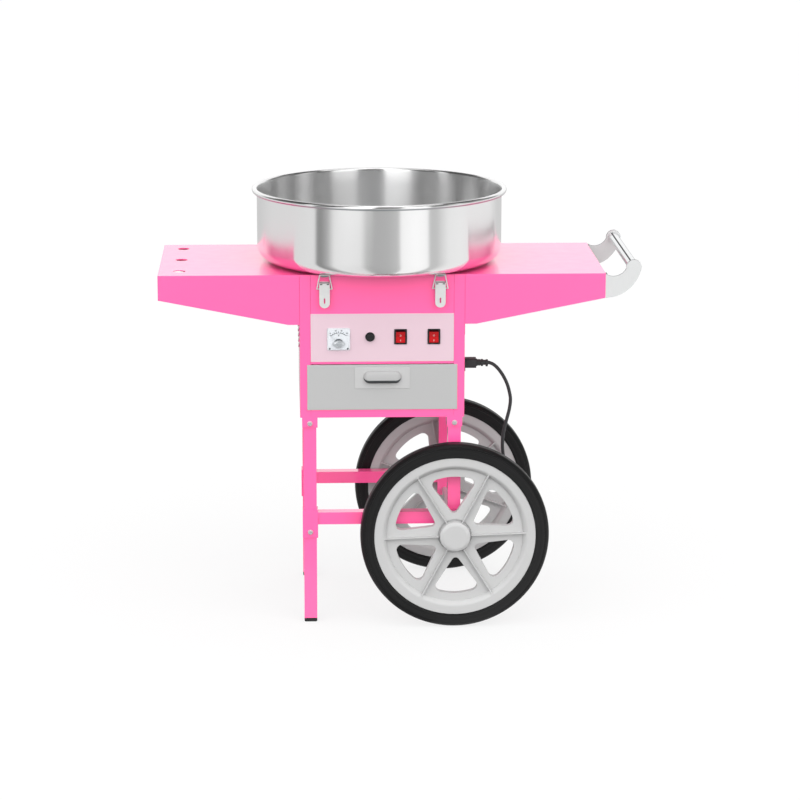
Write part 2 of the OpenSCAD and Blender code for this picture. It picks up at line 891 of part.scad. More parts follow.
module stretcher() {
  difference() {
    union() {
      left_and_right() translate([leg_x, -leg_y, sleeve_z0])
        square_tube(socket_w, socket_wall, sleeve_z1 - sleeve_z0);
      translate([-leg_x + socket_w / 2, -leg_y, stretcher_z]) rotate([0, 90, 0])
        square_tube(stretcher_w, leg_wall, 2 * leg_x - socket_w);
    }
    rod_y(bolt_r + bolt_fit, -hd - overcut, -hd + socket_w + overcut, -leg_x, axle_z);
    rod_y(axle_d / 2 + axle_fit, -hd - overcut, -hd + socket_w + overcut, leg_x, axle_z);
  }
}

module stretchers() {
  color(pink) place() front_and_back() stretcher();
}

module axle() {
  color(steel) place() rod_y(axle_d / 2, -axle_y1, axle_y1, leg_x, axle_z);
}

// A bolt along Y with its head on the front of the leg and a nut behind it
module leg_bolt(x, z) {
  rod_y(bolt_head_r, -hd - bolt_head_h, -hd, x, z);
  rod_y(bolt_r, -hd, -hd + socket_w + nut_h, x, z);
  translate([x, -hd + socket_w + nut_h, z]) rotate([90, 0, 0]) cylinder(r = bolt_head_r, h = nut_h, $fn = 6);
}

// A bolt along X through sheets from x0 to x1, its head past x1
module sheet_bolt(x0, x1) {
  rod_x(bolt_head_r, x1, x1 + bolt_head_h, 0, 0);
  rod_x(bolt_r, x0 - nut_h, x1, 0, 0);
  translate([x0 - nut_h, 0, 0]) rotate([0, 90, 0]) cylinder(r = bolt_head_r, h = nut_h, $fn = 6);
}

module axle_end() {
  difference() {
    union() {
      rod_y(washer_r, -hd - washer_t, -hd, leg_x, axle_z);
      rod_y(washer_r, -nut_y0, -nut_y0 + washer_t, leg_x, axle_z);
      translate([leg_x, -nut_y0, axle_z]) rotate([90, 0, 0])
        cylinder(r = axle_nut_r, h = axle_nut_h, $fn = 6);
    }
    rod_y(axle_d / 2 + axle_fit, -axle_y1 - overcut, -hd + overcut, leg_x, axle_z);
  }
}

module fasteners() {
  color(zinc) place() {
    front_and_back() {
      leg_bolt(leg_x, leg_bolt_z);
      leg_bolt(-leg_x, leg_bolt_z);
      leg_bolt(-leg_x, axle_z);
      axle_end();
    }
    left_and_right() for (y = [-shelf_bolt_y, shelf_bolt_y]) {
      translate([0, y, shelf_bolt_z]) sheet_bolt(hw - sheet_t, hw + sheet_t);
    }
    handle_bolt_spots() sheet_bolt(shelf_end - sheet_t, shelf_end + handle_t);
    for (x = [-panel_screw_x, panel_screw_x], z = [body_z + lip_h / 2, z_top - lip_h / 2]) {
      rod_y(panel_screw_r, hd - lip_inset - sheet_t, hd, x, z);
      rod_y(2 * panel_screw_r, hd, hd + panel_screw_r, x, z);
    }
  }
}

// Wheels, built round an upright axis whose top faces outward
function polar(r, a) = [r * cos(a), r * sin(a)];
// Where the outer tangent on one side touches two circles
function tangent_pair(a, ra, b, rb, side) =
  let (d = b - a, turn = atan2(d.y, d.x) + side * acos((ra - rb) / norm(d)))
  [a + polar(ra, turn), b + polar(rb, turn)];

module window_outline() {
  apex = [window_r0 + apex_rd, 0];
  corner_a = polar(window_r1 - corner_rd, window_turn);
  corner_b = polar(window_r1 - corner_rd, -window_turn);
  edge_a = tangent_pair(apex, apex_rd, corner_a, corner_rd, 1);
  edge_b = tangent_pair(apex, apex_rd, corner_b, corner_rd, -1);
  translate(apex) circle(apex_rd);
  translate(corner_a) circle(corner_rd);
  translate(corner_b) circle(corner_rd);
  intersection() {
    circle(window_r1);
    polygon([
      edge_a[0], edge_a[1], corner_a, polar(2 * window_r1, window_turn), polar(2 * window_r1, -window_turn),
      corner_b, edge_b[1], edge_b[0]
    ]);
  }
}

module wheel_rim(turn) {
  hub_in = wheel_y - hub_y0;
  hub_out = hub_y1 - wheel_y;
  rib_hw = web_hw + rib_h;
  difference() {
    union() {
      rotate_extrude($fn = 96) polygon([
        [hub_r - overcut, -web_hw], [web_r, -web_hw], [slope_r, -slope_hw], [band_r, -rim_hw],
        [seat_r, -rim_hw], [seat_r, rim_hw], [band_r, rim_hw], [slope_r, slope_hw], [web_r, web_hw],
        [recess_r, web_hw], [recess_r - 0.5, recess_hw], [hub_r - overcut, recess_hw]
      ]);
      translate([0, 0, -hub_in]) cylinder(r = hub_r, h = hub_in + hub_out);
      for (i = [0:spokes - 1]) rotate(turn + 360 * i / spokes) {
        translate([rib_r0, -rib_w / 2, 0]) cube([rib_r1 - rib_r0, rib_w, rib_hw]);
        translate([hub_r - overcut, -rib_w / 2, -rib_hw]) cube([rib_r1 - hub_r + overcut, rib_w, rib_hw]);
      }
    }
    translate([0, 0, -hub_in - overcut])
      cylinder(r = axle_d / 2 + axle_fit, h = hub_in + hub_out + 2 * overcut);
    for (i = [0:spokes - 1]) rotate(turn + 360 * (i + 0.5) / spokes)
      translate([0, 0, -web_hw - overcut]) linear_extrude(2 * (web_hw + overcut)) window_outline();
  }
}

module wheel_tyre() {
  flat_hw = tyre_w / 2 - shoulder_rd;
  bead_at = seat_r + seat_fit;
  rotate_extrude($fn = 96) intersection() {
    translate([bead_at, -tyre_w / 2]) square([tyre_r - bead_at, tyre_w]);
    union() {
      translate([bead_at, -flat_hw]) square([tyre_r - bead_at, 2 * flat_hw]);
      translate([bead_at, -tyre_w / 2]) square([tyre_r - shoulder_rd - bead_at, tyre_w]);
      for (s = [-1, 1]) translate([tyre_r - shoulder_rd, s * flat_hw]) circle(shoulder_rd);
    }
  }
}

module wheel_cap() {
  skirt = hub_y1 - cap_skirt_y0;
  inside = skirt + axle_y1 - hub_y1 + end_play;
  top = inside + cap_wall;
  cap_r = hub_cap_d / 2;
  translate([0, 0, cap_skirt_y0 - wheel_y]) rotate_extrude($fn = 96) polygon([
    [hub_r + seat_fit, 0], [cap_r, 0], [cap_r, top - 5], [cap_r - 1.5, top - 3], [cap_flat_r, top],
    [0, top], [0, inside], [cap_flat_r, inside], [cap_flat_r, skirt + end_play],
    [hub_r - 2, skirt + end_play], [hub_r - 2, skirt], [hub_r + seat_fit, skirt]
  ]);
}

module at_front_wheel() {
  translate([leg_x, -wheel_y, axle_z]) rotate([90, 0, 0]) children();
}

module rim_front() {
  color(rim_grey) place() at_front_wheel() wheel_rim(spoke_turn_front);
}

module tyre_front() {
  color(black) place() at_front_wheel() wheel_tyre();
}

module hub_cap_front() {
  color(rim_grey) place() at_front_wheel() wheel_cap();
}

module rim_back() {
  color(rim_grey) place() mirror([0, 1, 0]) at_front_wheel() wheel_rim(spoke_turn_back);
}

module tyre_back() {
  color(black) place() mirror([0, 1, 0]) at_front_wheel() wheel_tyre();
}

module hub_cap_back() {
  color(rim_grey) place() mirror([0, 1, 0]) at_front_wheel() wheel_cap();
}

// Bowl: floor, round corner, wall, rolled rim, foot ring and the collar round the spindle
module bowl() {
  color(steel) place() rotate_extrude($fn = 128) {
    translate([spindle_hole_r, bowl_z]) square([bowl_flat_r - spindle_hole_r, bowl_t]);
    translate([spindle_hole_r, bowl_z]) square([bowl_t, collar_h]);
    translate([foot_r0, z_top]) square([foot_r1 - foot_r0, bowl_foot]);
    intersection() {
      translate([bowl_flat_r, bowl_z]) square(bowl_corner);
      translate([bowl_flat_r, bowl_z + bowl_corner]) difference() {
        circle(bowl_corner);
        circle(bowl_corner - bowl_t);
      }
    }
    translate([bowl_wall_r - bowl_t, bowl_z + bowl_corner]) square([bowl_t, bead_z - bowl_z - bowl_corner]);
    translate([bead_cr, bead_z]) circle(bead_r);
  }
}

// Latches: everything for one front latch is drawn at the middle and then set in its place
module latch_spot(sx, sy) {
  mirror([0, sy > 0 ? 1 : 0, 0]) translate([sx * latch_x, -hd, 0]) children();
}

module each_latch() {
  for (sx = [-1, 1], sy = [-1, 1]) latch_spot(sx, sy) children();
}

module bowl_keepers() {
  color(steel) place() each_latch() {
    block([-keeper_w / 2, -keeper_tab_out - catch_t, bowl_z - catch_t], [keeper_w / 2, keeper_in, bowl_z]);
    block([-keeper_w / 2, -keeper_tab_out - catch_t, lip_top - catch_t],
          [keeper_w / 2, -keeper_tab_out, bowl_z]);
    block([-keeper_w / 2, -keeper_lip_out, lip_top - catch_t], [keeper_w / 2, -keeper_tab_out, lip_top]);
  }
}

module latch_bases() {
  base_low = 30;
  base_top = 4;
  ear_r = 3;
  color(steel) place() each_latch() translate([0, 0, pivot_z]) {
    block([-ear_x1, -base_t, -base_low], [ear_x1, 0, base_top]);
    for (s = [-1, 1]) sideways(s > 0 ? ear_x0 : -ear_x1, s > 0 ? ear_x1 : -ear_x0) {
      translate([-pivot_out, 0]) circle(ear_r);
      translate([-pivot_out, -ear_r]) square([pivot_out, 2 * ear_r]);
    }
    rod_x(pivot_r, -lever_w / 2, lever_w / 2, -pivot_out, 0);
  }
}

module latch_lever() {
  lw = lever_w / 2;
  tip_r = lw;
  eye_w = 3;
  eye_h = 11;
  color(steel) translate([0, -pivot_out, pivot_z]) difference() {
    union() {
      upright(-lever_face_u - lever_face_t, -lever_face_u) {
        translate([-lw, -lever_len + tip_r]) square([lever_w, lever_len - tip_r + lever_top]);
        translate([0, -lever_len + tip_r]) circle(tip_r);
      }
      for (s = [-1, 1]) sideways(s > 0 ? lw - cheek_t : -lw, s > 0 ? lw : -lw + cheek_t) {
        circle(cheek_r);
        polygon([
          [-lever_face_u, lever_top], [0, lever_top], [3, 0], [3, -cheek_len / 2], [-lever_face_u, -cheek_len]
        ]);
      }
    }
    rod_x(pivot_r + pivot_fit, -lever_w, lever_w, 0, 0);
    rod_x(bail_r + pivot_fit, -lever_w, lever_w, 0, -bail_arm);
    upright(-lever_face_u - lever_face_t - overcut, -lever_face_u + overcut)
      translate([0, -lever_len + 1.4 * tip_r]) {
        square([eye_w, eye_h - eye_w], center = true);
        for (s = [-1, 1]) translate([0, s * (eye_h - eye_w) / 2]) circle(eye_w / 2);
      }
  }
}

module wire(a, b) {
  d = b - a;
  translate(a) rotate([0, acos(d.z / norm(d)), atan2(d.y, d.x)]) cylinder(r = bail_r, h = norm(d));
}

module latch_bail() {
  foot = [bail_foot_x, -pivot_out, pivot_z - bail_arm];
  stub = [bail_stub_x, -pivot_out, pivot_z - bail_arm];
  top = [bail_top_x, -bail_out, bail_z];
  corner = 0.6 * bail_r;
  color(steel) {
    left_and_right() {
      wire(stub, foot + [corner, 0, 0]);
      wire(foot - [0, 0, corner], top);
    }
    rod_x(bail_r, -bail_top_x - corner, bail_top_x + corner, -bail_out, bail_z);
  }
}

module latch_lever_front_left() {
  place() latch_spot(-1, -1) latch_lever();
}

module latch_lever_front_right() {
  place() latch_spot(1, -1) latch_lever();
}

module latch_lever_back_left() {
  place() latch_spot(-1, 1) latch_lever();
}

module latch_lever_back_right() {
  place() latch_spot(1, 1) latch_lever();
}

module latch_bail_front_left() {
  place() latch_spot(-1, -1) latch_bail();
}

module latch_bail_front_right() {
  place() latch_spot(1, -1) latch_bail();
}

module latch_bail_back_left() {
  place() latch_spot(-1, 1) latch_bail();
}

module latch_bail_back_right() {
  place() latch_spot(1, 1) latch_bail();
}

// Drawer
module drawer_tray() {
  tw = tray_w / 2;
  color(steel) place() difference() {
    block([-tw, tray_y0, tray_z0], [tw, tray_y0 + tray_d, tray_z0 + tray_h]);
    block([-tw + sheet_t, tray_y0 + sheet_t, tray_z0 + sheet_t],
          [tw - sheet_t, tray_y0 + tray_d - sheet_t, tray_z0 + tray_h + overcut]);
  }
}

module drawer_front() {
  color(drawer_grey) place()
    block([-drawer_front_w / 2, drawer_front_y, drawer_z0],
          [drawer_front_w / 2, tray_y0, drawer_z0 + drawer_front_h]);
}

// A round-ended hood, whose lower edge turns up at its ends
module hood(r) {
  half = hood_len / 2 - hood_r;
  rod_x(r, -half, half, 0, 0);
  for (s = [-1, 1]) translate([s * half, 0, 0]) sphere(r);
}

module drawer_pull() {
  color(plate_grey) place() translate([0, drawer_front_y, 0]) {
    translate([0, 0, pull_z]) upright(-pull_t, 0) soft_rect(pull_w, pull_h, 2);
    translate([0, -pull_t, hood_z]) intersection() {
      difference() {
        hood(hood_r);
        hood(hood_r - hood_wall);
      }
      upright(-hood_r, 0) translate([0, hood_r]) soft_rect(hood_len, 2 * hood_r, hood_corner);
    }
  }
}

module drawer_runners() {
  wall = hw - sheet_t;
  guide = tray_w / 2 + drawer_play;
  color(zinc) place() left_and_right() {
    block([ledge_x, -runner_y, ledge_z - sheet_t], [wall, runner_y, ledge_z]);
    block([wall - sheet_t, -runner_y, ledge_z - sheet_t], [wall, runner_y, ledge_z + runner_flange_h]);
    block([guide, -runner_y, ledge_z - sheet_t], [guide + sheet_t, runner_y, ledge_z + guide_h]);
  }
}

// Switches, fuse and meter
module switch_frames() {
  pivot_y = face_y + rocker_in;
  color(black) place() for (x = [heat_x, power_x]) translate([x, 0, switch_z]) difference() {
    union() {
      upright(face_y - bezel_t, face_y) soft_rect(switch_w, switch_h, 1.5);
      upright(face_y, face_y + switch_body_d) square([switch_body_w, switch_body_h], center = true);
    }
    upright(face_y - bezel_t - overcut, face_y + switch_body_d - bezel_t)
      square([aperture_w, aperture_h], center = true);
    rod_x(rocker_pin_r + pivot_fit, -switch_w, switch_w, pivot_y, 0);
  }
}

module rocker(x) {
  proud = 6.5;
  dip = 4.6;
  edge = 11.5;
  back = 4;
  color(red) place() translate([x, face_y + rocker_in, switch_z]) rotate([rocker_tilt, 0, 0]) {
    sideways(-rocker_w / 2, rocker_w / 2) polygon([
      [-proud, edge], [-dip, 0], [-proud, -edge], [-1, -edge - 0.7], [back, -edge / 2],
      [back, edge / 2], [-1, edge + 0.7]
    ]);
    rod_x(rocker_pin_r, -rocker_pin_x, rocker_pin_x, 0, 0);
  }
}

module heat_rocker() {
  rocker(heat_x);
}

module power_rocker() {
  rocker(power_x);
}

module fuse_holder() {
  color(black) place() difference() {
    union() {
      rod_y(fuse_d / 2, face_y - fuse_flange_t, face_y, fuse_x, fuse_z);
      rod_y(fuse_barrel_r, face_y, face_y + fuse_barrel_d, fuse_x, fuse_z);
    }
    rod_y(fuse_stem_r + pivot_fit, face_y - fuse_flange_t - overcut, face_y + fuse_stem_d, fuse_x, fuse_z);
  }
}

module fuse_cap() {
  slot_w = 1.6;
  slot_d = 1.2;
  cap_y0 = face_y - fuse_flange_t - end_play;
  color(black) place() difference() {
    union() {
      rod_y(fuse_cap_r, cap_y0 - fuse_cap_h, cap_y0, fuse_x, fuse_z);
      rod_y(fuse_stem_r, cap_y0, face_y + fuse_stem_d - 2, fuse_x, fuse_z);
    }
    block([fuse_x - fuse_cap_r, cap_y0 - fuse_cap_h - overcut, fuse_z - slot_w / 2],
          [fuse_x + fuse_cap_r, cap_y0 - fuse_cap_h + slot_d, fuse_z + slot_w / 2]);
  }
}

meter_dial_y = face_y - meter_base_t;
module meter_case() {
  color(white) place() difference() {
    union() {
      translate([meter_x, 0, meter_z]) upright(meter_dial_y, face_y) soft_rect(meter_w, meter_h, 2);
      rod_y(meter_barrel_r, face_y, face_y + meter_barrel_d, meter_x, meter_z);
      rod_y(movement_r, meter_dial_y - movement_t, meter_dial_y, meter_x, meter_pivot_z);
    }
    rod_y(needle_r + pivot_fit, meter_dial_y - movement_t - overcut, meter_dial_y + 1,
          meter_x, meter_pivot_z);
  }
}

module meter_needle() {
  y1 = meter_dial_y - movement_t - needle_gap;
  color(black) place() translate([meter_x, 0, meter_pivot_z]) rotate([0, -needle_rest, 0]) {
    rod_y(needle_r, y1 - needle_t, meter_dial_y + 0.7, 0, 0);
    rod_y(needle_hub_r, y1 - needle_t, y1, 0, 0);
    block([-needle_w / 2, y1 - needle_t, 0], [needle_w / 2, y1, needle_len]);
  }
}

module meter_lens() {
  color([0.9, 0.95, 1, 0.4]) place() translate([meter_x, 0, meter_z]) difference() {
    upright(meter_dial_y - meter_cover_d, meter_dial_y) soft_rect(meter_w, meter_h, 2);
    upright(meter_dial_y - meter_cover_d + meter_wall, meter_dial_y + overcut)
      square([meter_w - 2 * meter_wall, meter_h - 2 * meter_wall], center = true);
  }
}

// Power inlet, connector, cord and plug
module inlet_pins(w, h, d) {
  for (i = [-1:1]) translate([0, inlet_y + i * pin_pitch, inlet_z + (i == 0 ? 2 : -2)])
    sideways(plug_body_x0 - socket_in_d - overcut, plug_body_x0 - socket_in_d + d)
      square([w, h], center = true);
}

module power_inlet() {
  color(black) place() {
    difference() {
      translate([0, inlet_y, inlet_z]) {
        sideways(hw, plug_body_x0) soft_rect(inlet_flange_w, inlet_flange_h, 3);
        sideways(hw - inlet_body_d, hw) square([inlet_body_w, inlet_body_h], center = true);
      }
      translate([0, inlet_y, inlet_z]) sideways(plug_body_x0 - socket_in_d, plug_body_x0 + overcut)
        square([socket_in_w, socket_in_h], center = true);
    }
    inlet_pins(pin_w, pin_h, pin_d);
  }
}

module cord_connector() {
  nose_d = socket_in_d - 1;
  x1 = plug_body_x0 + plug_body_len;
  neck_r = plug_body_h / 2 - 1;
  rib = relief_len / relief_ribs;
  color(black) place() difference() {
    translate([0, inlet_y, inlet_z]) {
      sideways(plug_body_x0 - nose_d, plug_body_x0)
        square([socket_in_w - 2 * nose_fit, socket_in_h - 2 * nose_fit], center = true);
      sideways(plug_body_x0, x1) soft_rect(plug_body_w, plug_body_h, 5);
      translate([x1, 0, 0]) rotate([0, 90, 0]) cylinder(r1 = neck_r - 2, r2 = cord_r + 1, h = relief_len);
      for (i = [0:relief_ribs - 1]) {
        rod_x(neck_r - 1 - 0.7 * i, x1 + rib * i, x1 + rib * (i + 0.6), 0, 0);
      }
    }
    inlet_pins(pin_w + 2 * pin_fit, pin_h + 2 * pin_fit, pin_d + 2 * pin_fit);
  }
}

module cord_run() {
  color(black) place() swept_tube(run_path, cord_r, 8, [0, 1, 0], [1, 0, 0], coil_heading(0));
}

module cord_coil() {
  color(black) place()
    swept_tube(coil_path, cord_r, 6, [0, 0, 1], coil_heading(0), coil_heading(coil_sweep));
}

module mains_plug() {
  x0 = plug_relief_len;
  x1 = plug_relief_len + plug_len;
  color(black) place() translate(coil_end) rotate([0, 0, plug_turn]) {
    rotate([0, 90, 0]) cylinder(r1 = cord_r + 1, r2 = cord_r + 4, h = plug_relief_len);
    sideways(x0, x1) soft_rect(plug_w, 2 * plug_z, 5);
    for (s = [-1, 1]) translate([x1, s * blade_pitch / 2 - blade_t / 2, -blade_h / 2])
      cube([blade_len, blade_t, blade_h]);
    rod_x(earth_r, x1, x1 + earth_len, 0, plug_z - earth_r - 2.5);
  }
}

// The works: a motor hung under the top plate turns the head in the bowl
module motor_bracket() {
  bw = bracket_w / 2;
  color(zinc) place() difference() {
    union() {
      block([-bw, -bw, motor_z1], [bw, bw, motor_z1 + bracket_t]);
      for (x = [-post_at, post_at], y = [-post_at, post_at]) rod_z(post_r, motor_z1, panel_z1, x, y);
    }
    rod_z(boss_r + boss_fit, motor_z1 - overcut, motor_z1 + bracket_t + overcut);
  }
}

module motor() {
  color(steel) place() difference() {
    union() {
      rod_z(motor_d / 2, motor_z0, motor_z1);
      rod_z(boss_r, motor_z1, motor_z1 + boss_h);
    }
    rod_z(shaft_r + shaft_fit, motor_z1 - shaft_in, motor_z1 + boss_h + overcut);
  }
}

module spinner_shaft() {
  color(steel) place() rod_z(shaft_r, motor_z1 - shaft_in + end_play, head_z0 + head_floor);
}

module spinner_pan() {
  wall_z1 = head_z0 + head_floor + head_h;
  slot_z = head_z0 + head_floor + head_h / 2;
  color(steel) place() difference() {
    union() {
      rod_z(head_r, head_z0, wall_z1);
      rod_z(head_hub_r, head_z0 - head_hub_h, head_z0 + head_floor);
    }
    rod_z(head_r - head_wall, head_z0 + head_floor, wall_z1 + overcut);
    rod_z(shaft_r + shaft_fit, head_z0 - head_hub_h - overcut, head_z0 + head_floor + overcut);
    for (i = [0:head_slots - 1]) rotate(360 * i / head_slots)
      translate([head_r - 2 * head_wall, -head_slot_w / 2, slot_z - head_slot_h / 2])
        cube([3 * head_wall, head_slot_w, head_slot_h]);
  }
}

module heater_ring() {
  z0 = head_z0 + head_floor;
  color("#7a5a48") place() {
    difference() {
      rod_z(heater_r, z0 + heater_lift, z0 + heater_lift + heater_h);
      rod_z(heater_r - heater_t, z0, z0 + heater_lift + heater_h + overcut);
    }
    for (i = [0:3]) rotate(45 + 90 * i)
      translate([heater_r - heater_t, -heater_post_w / 2, z0])
        cube([heater_t - 0.3, heater_post_w, heater_lift + 2]);
  }
}

module spinner_cap() {
  z0 = head_z0 + head_floor + head_h;
  color(steel) place() difference() {
    union() {
      rod_z(head_r, z0, z0 + head_cap_t);
      rod_z(feed_r + 2, z0, z0 + head_cap_t + feed_rim_h);
    }
    rod_z(feed_r, z0 - overcut, z0 + head_cap_t + feed_rim_h + overcut);
  }
}

base_pan();
side_panel_left();
side_panel_right();
back_panel();
front_panel();
top_plate();
control_panel();
shelf_left();
shelf_right();
shelf_tops();
handle_brackets();
handle_bar();
leg_front_left();
leg_back_left();
leg_front_right();
leg_back_right();
foot_caps();
stretchers();
axle();
fasteners();
rim_front();
tyre_front();
hub_cap_front();
rim_back();
tyre_back();
hub_cap_back();
bowl();
bowl_keepers();
latch_bases();
latch_lever_front_left();
latch_lever_front_right();
latch_lever_back_left();
latch_lever_back_right();
latch_bail_front_left();
latch_bail_front_right();
latch_bail_back_left();
latch_bail_back_right();
drawer_tray();
drawer_front();
drawer_pull();
drawer_runners();
switch_frames();
heat_rocker();
power_rocker();
fuse_holder();
fuse_cap();
meter_case();
meter_needle();
meter_lens();
power_inlet();
cord_connector();
cord_run();
cord_coil();
mains_plug();
motor();
motor_bracket();
spinner_shaft();
spinner_pan();
spinner_cap();
heater_ring();
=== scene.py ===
"""Cotton candy cart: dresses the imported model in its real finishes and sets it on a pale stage."""
import json
import math

import bmesh
import bpy
from mathutils import Matrix, Vector

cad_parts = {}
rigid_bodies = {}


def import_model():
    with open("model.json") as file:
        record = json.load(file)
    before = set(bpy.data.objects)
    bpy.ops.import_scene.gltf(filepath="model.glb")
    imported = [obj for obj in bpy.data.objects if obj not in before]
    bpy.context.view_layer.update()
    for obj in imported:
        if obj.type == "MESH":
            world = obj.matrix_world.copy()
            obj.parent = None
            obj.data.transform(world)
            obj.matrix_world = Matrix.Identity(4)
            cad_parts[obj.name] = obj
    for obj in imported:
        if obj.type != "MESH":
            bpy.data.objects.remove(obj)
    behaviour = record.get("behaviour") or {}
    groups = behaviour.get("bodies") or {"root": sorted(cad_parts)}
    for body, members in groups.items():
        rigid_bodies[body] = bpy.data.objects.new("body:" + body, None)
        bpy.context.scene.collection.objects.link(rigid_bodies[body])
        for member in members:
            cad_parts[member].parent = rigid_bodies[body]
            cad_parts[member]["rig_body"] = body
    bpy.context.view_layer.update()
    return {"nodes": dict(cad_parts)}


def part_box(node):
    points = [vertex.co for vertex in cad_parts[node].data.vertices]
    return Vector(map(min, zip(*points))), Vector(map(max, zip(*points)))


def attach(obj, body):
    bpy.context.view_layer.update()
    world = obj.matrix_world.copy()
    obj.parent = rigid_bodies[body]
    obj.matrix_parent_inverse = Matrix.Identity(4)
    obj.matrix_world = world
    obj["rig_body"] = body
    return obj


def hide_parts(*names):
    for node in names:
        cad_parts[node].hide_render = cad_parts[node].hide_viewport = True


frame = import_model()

bl_info = {
    "name": "Cotton candy cart",
    "version": (1, 0, 0),
    "blender": (4, 5, 0),
    "location": "View3D > Sidebar > Cart",
    "description": "Finishes for a cotton candy cart with a spun-steel bowl",
    "category": "Object",
}

MM = 0.001
NODES = frame["nodes"]
FINISH = {}  # the materials by short names, filled by main
SHIFT = -36.0  # the cabinet's middle lies this far along X, in mm, because the handle makes the cart longer
FORWARD = Vector((0, -1, 0))


def linear(code):
    """An sRGB hex colour as the linear colour that Blender works in."""
    channels = [int(code[i:i + 2], 16) / 255 for i in (1, 3, 5)]
    return tuple(c / 12.92 if c <= 0.04045 else ((c + 0.055) / 1.055) ** 2.4 for c in channels) + (1.0,)


def at(x, y, z):
    """A point of the cart, given in mm from the cabinet's middle, in metres."""
    return Vector(((x + SHIFT) * MM, y * MM, z * MM))


def tuned(thing, **values):
    """Sets a thing's values and gives it back."""
    for key, value in values.items():
        setattr(thing, key, value)
    return thing


# Settings

def colour_setting(name, description, code):
    return bpy.props.FloatVectorProperty(
        name=name, description=description, default=linear(code), size=4, min=0, max=1, subtype="COLOR")


def length_setting(name, description, default, least, most):
    """A length, given in mm."""
    return bpy.props.FloatProperty(
        name=name, description=description, default=default * MM, min=least * MM, max=most * MM,
        unit="LENGTH", precision=5)


def power_setting(name, description, default):
    return bpy.props.FloatProperty(
        name=name, description=description, default=default, min=0, max=1000, subtype="POWER")


class CartColours(bpy.types.PropertyGroup):
    """Colours of the cart's finishes"""
    pink: colour_setting("Pink coat", "Powder coat of the cabinet, shelves and legs", "#FB5597")
    panel: colour_setting("Control panel", "Print ground of the control panel", "#C4ABB5")
    drawer: colour_setting("Drawer", "Satin paint of the drawer front", "#9F9F9F")
    rim: colour_setting("Wheel rims", "Moulded plastic of the rims and hub caps", "#A9A9A9")
    tyre: colour_setting("Tyres", "Rubber of the tyres", "#0B0B0C")
    rocker: colour_setting("Rockers", "Red plastic of the switch rockers", "#A7030A")


class CartSizes(bpy.types.PropertyGroup):
    """Sizes of the cart's finer shapes"""
    sheet_edge: length_setting("Sheet edge", "Rounding of the sheet steel's edges", 0.7, 0.1, 0.7)
    peel: length_setting("Orange peel", "Width of the lumps in the powder coat", 2.5, 1, 6)
    groove: length_setting("Tread groove", "Depth of the grooves round the tyres", 1.4, 0, 2)
    ticks: bpy.props.IntProperty(
        name="Meter ticks", description="Number of ticks on the meter's scale", default=9, min=5, max=31)
    grips: bpy.props.IntProperty(
        name="Fuse grips", description="Number of grip ribs round the fuse cap", default=24, min=12, max=36)


class CartStage(bpy.types.PropertyGroup):
    """Light on the cart"""
    key: power_setting("Key light", "Power of the large soft light before the cart", 12)
    top: power_setting("Top light", "Power of the soft light over the cart", 18)
    ambient: bpy.props.FloatProperty(
        name="Surround", description="Strength of the even light from all round", default=1.93, min=0, max=3)


# Materials

def add(tree, kind, inputs=None, **settings):
    """Adds one node, gives it its settings, and fills or links its inputs. Shader nodes go by short names."""
    made = tuned(tree.nodes.new(kind if "Node" in kind else "ShaderNode" + kind), **settings)
    for key, value in (inputs or {}).items():
        if isinstance(value, bpy.types.NodeSocket):
            tree.links.new(value, made.inputs[key])
        else:
            made.inputs[key].default_value = value
    return made


def flow(tree, kind, inputs=None, **settings):
    """Adds one node and gives its first output."""
    return add(tree, kind, inputs, **settings).outputs[0]


def cleared(owner):
    """The empty node tree of a material or a world."""
    owner.use_nodes = True
    owner.node_tree.nodes.clear()
    return owner.node_tree


def begin(name, **values):
    """A new material with one shader, and the object's own coordinates to draw on."""
    material = bpy.data.materials.new(name)
    tree = cleared(material)
    shader = add(tree, "BsdfPrincipled", {k.replace("_", " "): v for k, v in values.items()})
    add(tree, "OutputMaterial", {"Surface": shader.outputs["BSDF"]})
    place = add(tree, "TexCoord").outputs["Object"]
    return material, tree, shader, place


def lumps(tree, place, size, detail):
    """Noise over patches of the given size in metres."""
    noise = add(tree, "TexNoise", {"Vector": place, "Scale": 1 / size, "Detail": detail})
    return noise.outputs["Fac"]


def shade(colour, factor):
    return tuple(min(1.0, c * factor) for c in colour[:3]) + (1.0,)


def mottle(tree, shader, place, colour, size, spread):
    """Slow drift of the colour."""
    mix = add(tree, "Mix", {
        "Factor": lumps(tree, place, size, 2.0), 6: shade(colour, 1 - spread), 7: shade(colour, 1 + spread)},
        data_type="RGBA")
    tree.links.new(mix.outputs[2], shader.inputs["Base Color"])


def uneven(tree, shader, place, size, low, high):
    """Roughness that wanders between two values."""
    span = flow(tree, "MapRange", {
        "Value": lumps(tree, place, size, 3.0), "To Min": low, "To Max": high})
    tree.links.new(span, shader.inputs["Roughness"])


def relief(tree, shader, place, size, depth):
    """A bumpy skin."""
    bump = flow(tree, "Bump", {
        "Height": lumps(tree, place, size, 2.0), "Distance": depth, "Strength": 1.0})
    tree.links.new(bump, shader.inputs["Normal"])


def stretched(tree, place, scale):
    """The coordinates drawn out along an axis, for brushed lines."""
    return flow(tree, "Mapping", {"Vector": place, "Scale": scale})


def surface(name, colour, drift, wear=None, bumps=None, along=None, **values):
    """A material whose colour drifts (patch size, spread), whose gloss is worn (patch size, least and most
    roughness) and whose skin is bumpy (size and depth of the lumps), all of it drawn out along an axis."""
    material, tree, shader, place = begin(name, **values)
    if along:
        place = stretched(tree, place, along)
    mottle(tree, shader, place, colour, *drift)
    if wear:
        uneven(tree, shader, place, *wear)
    if bumps:
        relief(tree, shader, place, *bumps)
    return material


